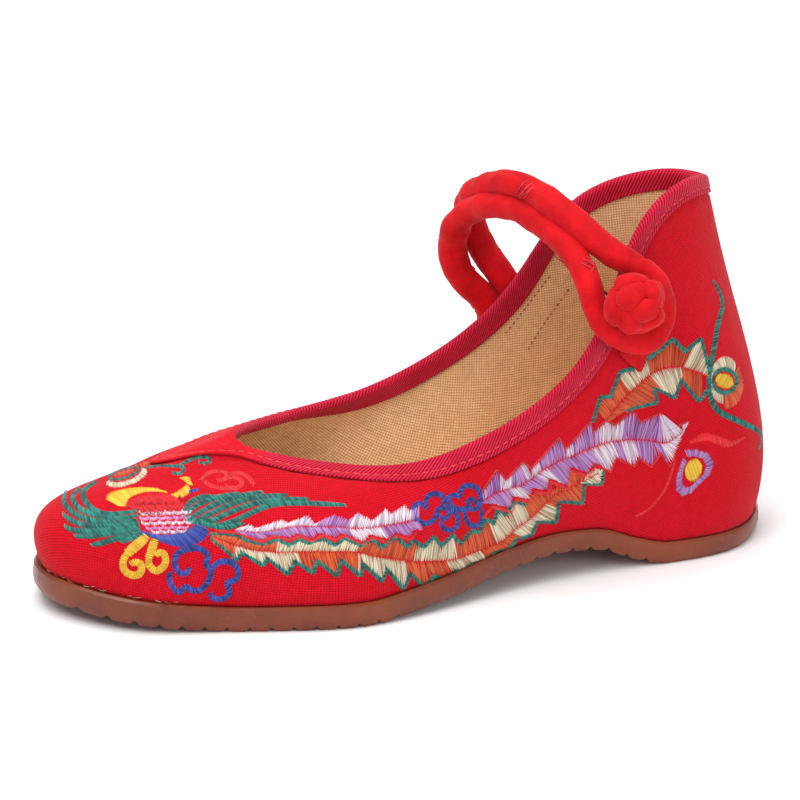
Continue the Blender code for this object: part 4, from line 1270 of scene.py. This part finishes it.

# Pale cream threads along the sole at the toe, as frayed thread ends and glue, painting the highlight on
# the sole's rim there
toe_u = np.linspace(-1.7, 3.2, 150)
toe_skin = Skin(np.mod(toe_u, len(RIBS)))
toe_foot = toe_skin.at(toe_skin.length - 0.5, 0.25)
toe_out = toe_skin.read(toe_skin.out, toe_skin.length - 0.5)
for i in range(0, len(toe_u) - 4, 2):
    long_end = 2 + int(abs(chance.off(2.4)))
    line = toe_foot[i:i + long_end + 1] + np.array([0, 0, abs(chance.off(0.6))])
    line[:, 2] += np.linspace(0, chance.off(0.7), len(line))
    if chance.off(1.0) > 0.25 and len(line) > 2:
        threads["cream"].stitch(line, toe_out[i:i + long_end + 1], 0.18, 0.10, 0.0, 0.2 + chance.off(0.4))


# Strap, button and tab


def sweep(name, centre, flat, wide, thick_way, sides, material, swell=None, **more):
    """A soft tube along the centre line. wide and thick_way are its sizes at each section."""
    count = len(centre)
    run = unit(np.gradient(centre, axis=0))
    flat = unit(flat - run * (flat * run).sum(axis=1)[:, None])
    up = np.cross(run, flat)
    turn = np.linspace(0, 2 * math.pi, sides, endpoint=False)
    wide = np.broadcast_to(wide, (count,))[:, None] / 2
    thick_way = np.broadcast_to(thick_way, (count,))[:, None] / 2
    x = np.sign(np.cos(turn)) * np.abs(np.cos(turn))**0.92 * wide
    y = np.sign(np.sin(turn)) * np.abs(np.sin(turn))**0.92 * thick_way
    points = centre[:, None] + flat[:, None] * x[:, :, None] + up[:, None] * y[:, :, None]
    if swell is not None:
        away = unit(points - centre[:, None])
        points = points + away * swell(points, centre, run, turn)[:, :, None]
    way = np.concatenate([[0], np.cumsum(np.linalg.norm(np.diff(centre, axis=0), axis=1))])
    uv = np.empty((count, sides + 1, 2))
    uv[:, :, 0] = way[:, None]
    uv[:, :, 1] = np.linspace(0, math.pi * float(np.mean(wide + thick_way)), sides + 1)
    faces, corners = grid_faces(count, sides, wrap_columns=True, flip=True)
    loops = uv[corners[..., 0], corners[..., 1]].reshape(-1, 2)
    faces = faces.tolist()
    points = points.reshape(-1, 3)
    faces.append(list(range(sides)))
    faces.append(list(range((count - 1) * sides, count * sides))[::-1])
    loops = np.concatenate([loops, np.zeros((2 * sides, 2))])
    return place(name, points, faces, material, uv=loops, **more), points


knot_at = np.array(share_point(*KNOT_AT))
strap_curve = open_cubic([share_point(*row) for row in STRAP])
STRAP_SECTIONS = 900
strap_centre = strap_curve(np.linspace(0, len(STRAP) - 1, STRAP_SECTIONS))
on_way = np.linspace(0, len(STRAP) - 1, STRAP_SECTIONS)
STRAP_EASE = [
    # place in STRAP's rows, its spread, move in millimetres
    (27.5, 3.0, (0, 0.8, -1.6)),
    (30.3, 1.9, (0, 1.7, 0)),
    (15.8, 1.8, (0, 0, 1.3)),
]
for ease_at, ease_wide, move in STRAP_EASE:
    strap_centre += np.exp(-((on_way - ease_at) / ease_wide)**2)[:, None] * move
above = strap_centre[:, 2] - knot_at[2]
lower = (np.clip(1 - (above - 0.8) / STRAP_TURN, 0, 1) * (strap_centre[:, 0] > 0))[:, None]
towards_knot = (knot_at - strap_centre) * (0, 1, 1)
strap_flat = unit(towards_knot) * lower + np.array([0.0, 1.0, 0.12]) * (1 - lower)
PINCHES = [(525, 190), (589, 263)]      # where stitches draw the two tubes together, in pixels


def on_photo(points):
    """Photograph pixels of points."""
    away = points - EYE
    depth = -(away @ BACK)
    return np.stack([PHOTO / 2 + FOCAL_PIXELS * (away @ RIGHT) / depth,
                     PHOTO / 2 - FOCAL_PIXELS * (away @ UP) / depth], axis=-1)


FULLER = 0.85             # the cloth stands this much proud of its plain tube


def strap_swell(points, centre, run, turn):
    """Soft folds of the strap: long shallow ones, short ones inside the bends, and pinches."""
    long_fold = ripple(points, 14.0, 2.0) * 0.34 + ripple(points, 6.0, 7.0) * 0.12
    bend = np.gradient(run, axis=0)
    tight = np.linalg.norm(bend, axis=1) / np.linalg.norm(np.gradient(centre, axis=0), axis=1)
    inner_way = unit(bend)
    away = unit(points - centre[:, None])
    inside = np.clip((away * inner_way[:, None]).sum(axis=2), 0, 1)
    way = np.concatenate([[0], np.cumsum(np.linalg.norm(np.diff(centre, axis=0), axis=1))])
    short = np.sin(way[:, None] * 2 * math.pi / 4.6 + ripple(points, 12.0, 5.0) * 2.2)
    short = short * inside * np.clip(tight * 9, 0, 1)[:, None] * 0.22
    pixels = on_photo(points)
    pinch = np.zeros(points.shape[:2])
    for x, y in PINCHES:
        gap = ((pixels[:, :, 0] - x)**2 + (pixels[:, :, 1] - y)**2) / 13.0**2
        pinch -= np.exp(-gap) * 0.7
    seam = -np.exp(-((turn - 4.4) / 0.16)**2)[None, :] * 0.28
    return long_fold + short + pinch + seam + FULLER * (1 - 0.8 * lower[:, :1])


_, strap_points = sweep("strap_cloth", strap_centre, strap_flat, STRAP_WIDE, STRAP_THICK, 40,
                        red_cotton, strap_swell, slot="red_cotton", replaces=["strap"])
strap_grid = strap_points.reshape(STRAP_SECTIONS, 40, 3)
strap_tree = tree_of(np.concatenate([strap_grid, strap_grid[:, :1]], axis=1))
for start, end in (((517, 198), (533, 182)), ((519, 200), (529, 184)), ((521, 197), (535, 186)),
                   ((516, 193), (527, 180)), ((523, 201), (531, 189)), ((582, 258), (597, 268)),
                   ((580, 262), (594, 271)), ((586, 256), (600, 266)), ((583, 266), (592, 260)),
                   ((590, 273), (598, 262)), ((588, 259), (600, 270))):
    sew("brick", start, end, 0.40, 0.35, tree=strap_tree)

# Knotted button: broad bands that overlap like a pinwheel, over a core. Each band lies on a
# ball: it starts under the one before and ends over the next.
KNOT_RADIUS = 8.0
KNOT_SCALE = 1.28         # the bands were laid out on the smaller ball
KNOT_FORWARD = 2.6        # the cloth knot stands out from the strap by this much
BANDS = [
    # polar from, polar to, turn from, turn to, half width, under, over
    (58, 46, -60, 82, 2.8, -2.3, 0.5),
    (58, 46, 30, 172, 2.8, -2.3, 0.6),
    (58, 46, 120, 262, 2.8, -2.3, 0.5),
    (58, 46, 210, 352, 2.8, -2.3, 0.6),
    (25, -25, 12, 12, 2.8, -0.1, -0.2),
    (100, 84, 0, 140, 3.0, -2.2, 0.2),
    (100, 84, 88, 230, 3.0, -2.2, 0.2),
    (100, 84, 178, 320, 3.0, -2.2, 0.2),
    (100, 84, 270, 410, 3.0, -2.2, 0.2),
]
BAND_STEPS = 90
BAND_SIDES = 30
BAND_THICK = 1.55
side = np.linspace(0, 2 * math.pi, BAND_SIDES, endpoint=False)
broad_way = np.sign(np.cos(side)) * np.abs(np.cos(side))**0.65
thick_way = np.sign(np.sin(side)) * np.abs(np.sin(side))**0.65
knot_points, knot_faces, knot_loops = [], [], []
for number, (polar_a, polar_b, turn_a, turn_b, half, under, over) in enumerate(BANDS):
    share = np.linspace(0, 1, BAND_STEPS)
    ease = share * share * (3 - 2 * share)
    polar = np.radians(polar_a + (polar_b - polar_a) * ease)
    turn = np.radians(turn_a + (turn_b - turn_a) * share)
    radius = KNOT_RADIUS - BAND_THICK + under + (over - under) * ease
    radius -= 1.5 * np.clip((share - 0.82) / 0.18, 0, 1)**2
    spine = np.column_stack([np.cos(polar), np.sin(polar) * np.cos(turn),
                             np.sin(polar) * np.sin(turn)]) * radius[:, None]
    run = unit(np.gradient(spine, axis=0))
    out = unit(spine)
    flat = unit(np.cross(out, run))
    up = np.cross(run, flat)
    narrow = np.sqrt(np.clip(1 - np.abs(2 * share - 1)**7, 0.02, 1))
    wide = half * narrow * (1 + 0.06 * np.sin(share * 9 + number))
    ring = (spine[:, None] + flat[:, None] * (broad_way * wide[:, None])[:, :, None]
            + up[:, None] * (thick_way * BAND_THICK * narrow[:, None])[:, :, None])
    drop = (np.abs(broad_way) * wide[:, None])**2 / (2 * KNOT_RADIUS)
    ring = ring - out[:, None] * drop[:, :, None]
    fold = ripple(ring, 5.0, 3.0 + number) * 0.16 + ripple(ring, 2.6, 6.0 + number) * 0.06
    ring = ring + unit(ring - spine[:, None]) * fold[:, :, None]
    faces, corners = grid_faces(BAND_STEPS, BAND_SIDES, wrap_columns=True, flip=True)
    first = number * BAND_STEPS * BAND_SIDES
    knot_faces += (faces + first).tolist()
    knot_faces.append([first + k for k in range(BAND_SIDES)])
    knot_faces.append([first + (BAND_STEPS - 1) * BAND_SIDES + k for k in range(BAND_SIDES)][::-1])
    knot_loops.append((corners.reshape(-1, 2) * (0.24, 0.4)))
    knot_loops.append(np.zeros((2 * BAND_SIDES, 2)))
    knot_points.append(ring.reshape(-1, 3))
knot_front = knot_at + BACK * KNOT_FORWARD
place("knot_strand", np.concatenate(knot_points) * KNOT_SCALE + knot_front, knot_faces, red_cotton,
      uv=np.concatenate(knot_loops), slot="red_cotton", replaces=["button_knot"])
polar = np.linspace(0.02, math.pi - 0.02, 24)[:, None]
turn = np.linspace(0, 2 * math.pi, 36, endpoint=False)[None, :]
core = np.stack([np.cos(polar) * np.ones_like(turn), np.sin(polar) * np.cos(turn),
                 np.sin(polar) * np.sin(turn)], axis=-1) * (KNOT_RADIUS - 3.0) + knot_front
grid("knot_core", core, red_cotton, np.zeros((24, 37, 2)), wrap_columns=True, slot="red_cotton")


def outer_wall(y, z):
    """The outer wall's point and outward direction at this y and z, on the button's side."""
    hit, normal, _, _ = cloth_tree.ray_cast(Vector((90.0, y, z)), Vector((-1, 0, 0)))
    normal = np.array(normal)
    return np.array(hit), normal * np.sign(normal[0])


stem_y, stem_z = share_point(0, *STEM_AT)[1:]
stem_wall, stem_out = outer_wall(stem_y, stem_z)
stem_line = np.linspace(0, 1, 24)[:, None]
stem_line = stem_wall + stem_out * 2.6 + (knot_at - stem_wall - stem_out * 2.6) * stem_line
sweep("knot_stem", stem_line, np.tile([0.0, 1.0, 0.0], (24, 1)), 5.6, 5.6, 24, red_cotton,
      slot="red_cotton")

# Tab under the button: a folded cloth with rolled edges
tab_rows = np.array([(*share_point(0, along, high)[1:], wide * TAB_WIDE)
                     for along, high, wide in TAB])
tab_down = np.concatenate([[0], np.cumsum(np.hypot(*np.diff(tab_rows[:, :2], axis=0).T))])
TAB_STEPS = 40
TAB_ACROSS = 17
tab_s = np.linspace(0, tab_down[-1], TAB_STEPS)
tab_y = np.interp(tab_s, tab_down, tab_rows[:, 0])
tab_z = np.interp(tab_s, tab_down, tab_rows[:, 1])
tab_half = np.maximum(np.interp(tab_s, tab_down, tab_rows[:, 2]) / 2, 0.35)
tab_run = tab_rows[-1, :2] - tab_rows[0, :2]
tab_run /= np.hypot(*tab_run)
layers = []
for layer, (low_edge, crown) in enumerate(((1.0, 0.15), (1.1, 1.25))):
    rows = []
    for s, y, z, half in zip(tab_s, tab_y, tab_z, tab_half):
        row = []
        for share in np.linspace(-1, 1, TAB_ACROSS):
            wall, away = outer_wall(y - tab_run[1] * half * share, z + tab_run[0] * half * share)
            round_edge = math.sqrt(max(1 - abs(share)**5, 0))
            fold = 0.12 * math.sin(share * 5.0 + s * 0.35) if layer else 0.0
            near_tip = min((tab_s[-1] - s) / 1.5 + 0.35, 1.0)
            row.append(wall + away * (low_edge + (crown + fold) * round_edge * near_tip))
        rows.append(row)
    layers.append(rows)
tab_top, tab_under = np.array(layers[1]), np.array(layers[0])
tab_loop = np.concatenate([tab_top, tab_under[:, ::-1]], axis=1)
tab_uv = np.empty((TAB_STEPS, 2 * TAB_ACROSS + 1, 2))
tab_uv[:, :, 0] = tab_s[:, None]
tab_uv[:, :, 1] = np.linspace(0, 26, 2 * TAB_ACROSS + 1)
faces, corners = grid_faces(TAB_STEPS, 2 * TAB_ACROSS, wrap_columns=True)
tab_faces = faces.tolist() + [list(range(2 * TAB_ACROSS))[::-1],
                              list(range((TAB_STEPS - 1) * 2 * TAB_ACROSS, TAB_STEPS * 2 * TAB_ACROSS))]
tab_loops = np.concatenate([tab_uv[corners[..., 0], corners[..., 1]].reshape(-1, 2),
                            np.zeros((4 * TAB_ACROSS, 2))])
place("tab_cloth", tab_loop.reshape(-1, 3), tab_faces, red_cotton, uv=tab_loops,
      slot="red_cotton", replaces=["button_tab"])

# Footbed cloth over the board and the wedge: a grid laid on the solid's top, its edge turned down
BED_STEPS = 150
BED_ACROSS = 36
BED_INSET = 0.8            # kept clear of the lining
BED_CROWN = 0.25           # the cloth lies this much proud in the middle
BED_TURN = 3.0             # the edge turns down by this much
BED_PROBE = 0.25           # spacing of the rays that find the edge
ABOVE_SHOE = 200.0
BED_SINK = 5.0             # lower than the solid here: the photo shows no footbed over the collar
BED_SINK_AT = -58.0
BED_SINK_WIDE = 26.0
bed_mesh = bmesh.new()
bed_mesh.from_mesh(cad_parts["insole"].data)
bed_mesh.transform(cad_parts["insole"].matrix_world)
bed_tree = BVHTree.FromBMesh(bed_mesh)
bed_y = [vert.co.y / MM for vert in bed_mesh.verts]
bed_x = [vert.co.x / MM for vert in bed_mesh.verts]


def bed_top(x, y):
    """Height of the footbed at a spot, or None beside it."""
    hit = bed_tree.ray_cast(Vector((x * MM, y * MM, ABOVE_SHOE * MM)), Vector((0, 0, -1)))[0]
    return None if hit is None else hit.z / MM


bed_rows = []
for y in np.linspace(min(bed_y) + BED_INSET, max(bed_y) - BED_INSET, BED_STEPS):
    inside = [x for x in np.arange(min(bed_x), max(bed_x), BED_PROBE) if bed_top(x, y) is not None]
    if len(inside) < 8:
        continue
    left, right = inside[0] + BED_INSET, inside[-1] - BED_INSET
    row = []
    for share in np.linspace(-1, 1, BED_ACROSS + 1):
        x = (left + right) / 2 + (right - left) / 2 * share
        height = bed_top(x, y)
        height = row[-1][2] if height is None else height
        row.append((x, y, height))
    sink = BED_SINK * math.exp(-((y - BED_SINK_AT) / BED_SINK_WIDE)**2)
    row = [(x, y, height + BED_CROWN * (1 - abs(share)**6) - sink)
           for (x, y, height), share in zip(row, np.linspace(-1, 1, BED_ACROSS + 1))]
    row = [(row[0][0], y, row[0][2] - BED_TURN)] + row + [(row[-1][0], y, row[-1][2] - BED_TURN)]
    bed_rows.append(row)
bed_mesh.free()
bed_rows = np.array(bed_rows)
faces, corners = grid_faces(len(bed_rows), BED_ACROSS + 3)
bed_uv = bed_rows[:, :, :2]
place("footbed_cloth", bed_rows.reshape(-1, 3), faces, tan_canvas,
      uv=bed_uv[corners[..., 0], corners[..., 1]].reshape(-1, 2),
      slot="tan_canvas", replaces=["insole"])

for name, thread in threads.items():
    thread.make("embroidery_" + name, THREADS[name])

# Camera, floor and light
camera = bpy.data.objects.new("camera", bpy.data.cameras.new("camera"))
bpy.context.scene.collection.objects.link(camera)
camera.data.sensor_width = SENSOR
camera.data.lens = FOCAL_PIXELS * SENSOR / PHOTO
camera.data.clip_start = 0.1
camera.data.clip_end = 50.0
camera.matrix_world = Matrix([
    (RIGHT[0], UP[0], BACK[0], EYE[0] * MM),
    (RIGHT[1], UP[1], BACK[1], EYE[1] * MM),
    (RIGHT[2], UP[2], BACK[2], EYE[2] * MM),
    (0, 0, 0, 1),
])
bpy.context.scene.camera = camera
bpy.context.scene.view_settings.view_transform = "Standard"

floor_mesh = bpy.data.meshes.new("floor")
FLOOR_HALF = 6.0
FLOOR_DROP = 0.0001
FLOOR_TONE = 0.92
STUDIO_LIGHT = 0.56
floor_mesh.from_pydata([(x * FLOOR_HALF, y * FLOOR_HALF, -FLOOR_DROP) for x, y in
                        ((-1, -1), (1, -1), (1, 1), (-1, 1))], [], [(0, 1, 2, 3)])
floor = bpy.data.objects.new("floor", floor_mesh)
bpy.context.scene.collection.objects.link(floor)
floor_paint = Paint("floor_paint", 0.9, 0.0, 0.5, 0.1)
floor_paint.set("Base Color", (FLOOR_TONE, FLOOR_TONE, FLOOR_TONE, 1))
floor.data.materials.append(floor_paint.material)
floor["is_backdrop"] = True

world = bpy.data.worlds.new("studio")
bpy.context.scene.world = world
world.use_nodes = True
world.node_tree.nodes["Background"].inputs["Color"].default_value = (1.0, 1.0, 1.0, 1)
world.node_tree.nodes["Background"].inputs["Strength"].default_value = STUDIO_LIGHT


def soft_light(name, place_at, aim, size, power):
    data = bpy.data.lights.new(name, "AREA")
    data.shape = "RECTANGLE"
    data.size, data.size_y = size
    data.energy = power
    made = bpy.data.objects.new(name, data)
    bpy.context.scene.collection.objects.link(made)
    made.location = place_at
    way = Vector(aim) - Vector(place_at)
    made.rotation_euler = way.to_track_quat("-Z", "Y").to_euler()


LIGHTS = {                              # place, aim and size in metres, power in watts
    "key": ((0.5, -0.9, 1.3), (0, -0.08, 0.04), (0.9, 0.9), 13.0),
    "top": ((-0.2, -0.1, 1.5), (0, -0.08, 0.05), (1.2, 1.2), 16.0),
    "side": ((1.5, 0.7, 0.7), (0, -0.06, 0.05), (0.8, 0.8), 6.0),
}
for name, settings in LIGHTS.items():
    soft_light(name, *settings)

# The rubber sole, with soft faces and crisp edges
MERGE = 0.02                            # corners closer than this are one, in millimetres
CRISP_TURN = 34                         # an edge that turns by more degrees stays crisp
sole_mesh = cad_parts["outsole"].data.copy()
sole_mesh.name = "outsole_rubber"
rubber = bmesh.new()
rubber.from_mesh(sole_mesh)
bmesh.ops.remove_doubles(rubber, verts=rubber.verts[:], dist=MERGE * MM)
for face in rubber.faces:
    face.smooth = True
for edge in rubber.edges:
    edge.smooth = edge.calc_face_angle(0.0) < math.radians(CRISP_TURN)
rubber.to_mesh(sole_mesh)
rubber.free()
sole_mesh.materials.clear()
sole_mesh.materials.append(gum_rubber)
outsole_rubber = bpy.data.objects.new("outsole_rubber", sole_mesh)
bpy.context.scene.collection.objects.link(outsole_rubber)
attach(outsole_rubber, "root")
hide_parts("outsole")

low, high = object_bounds()
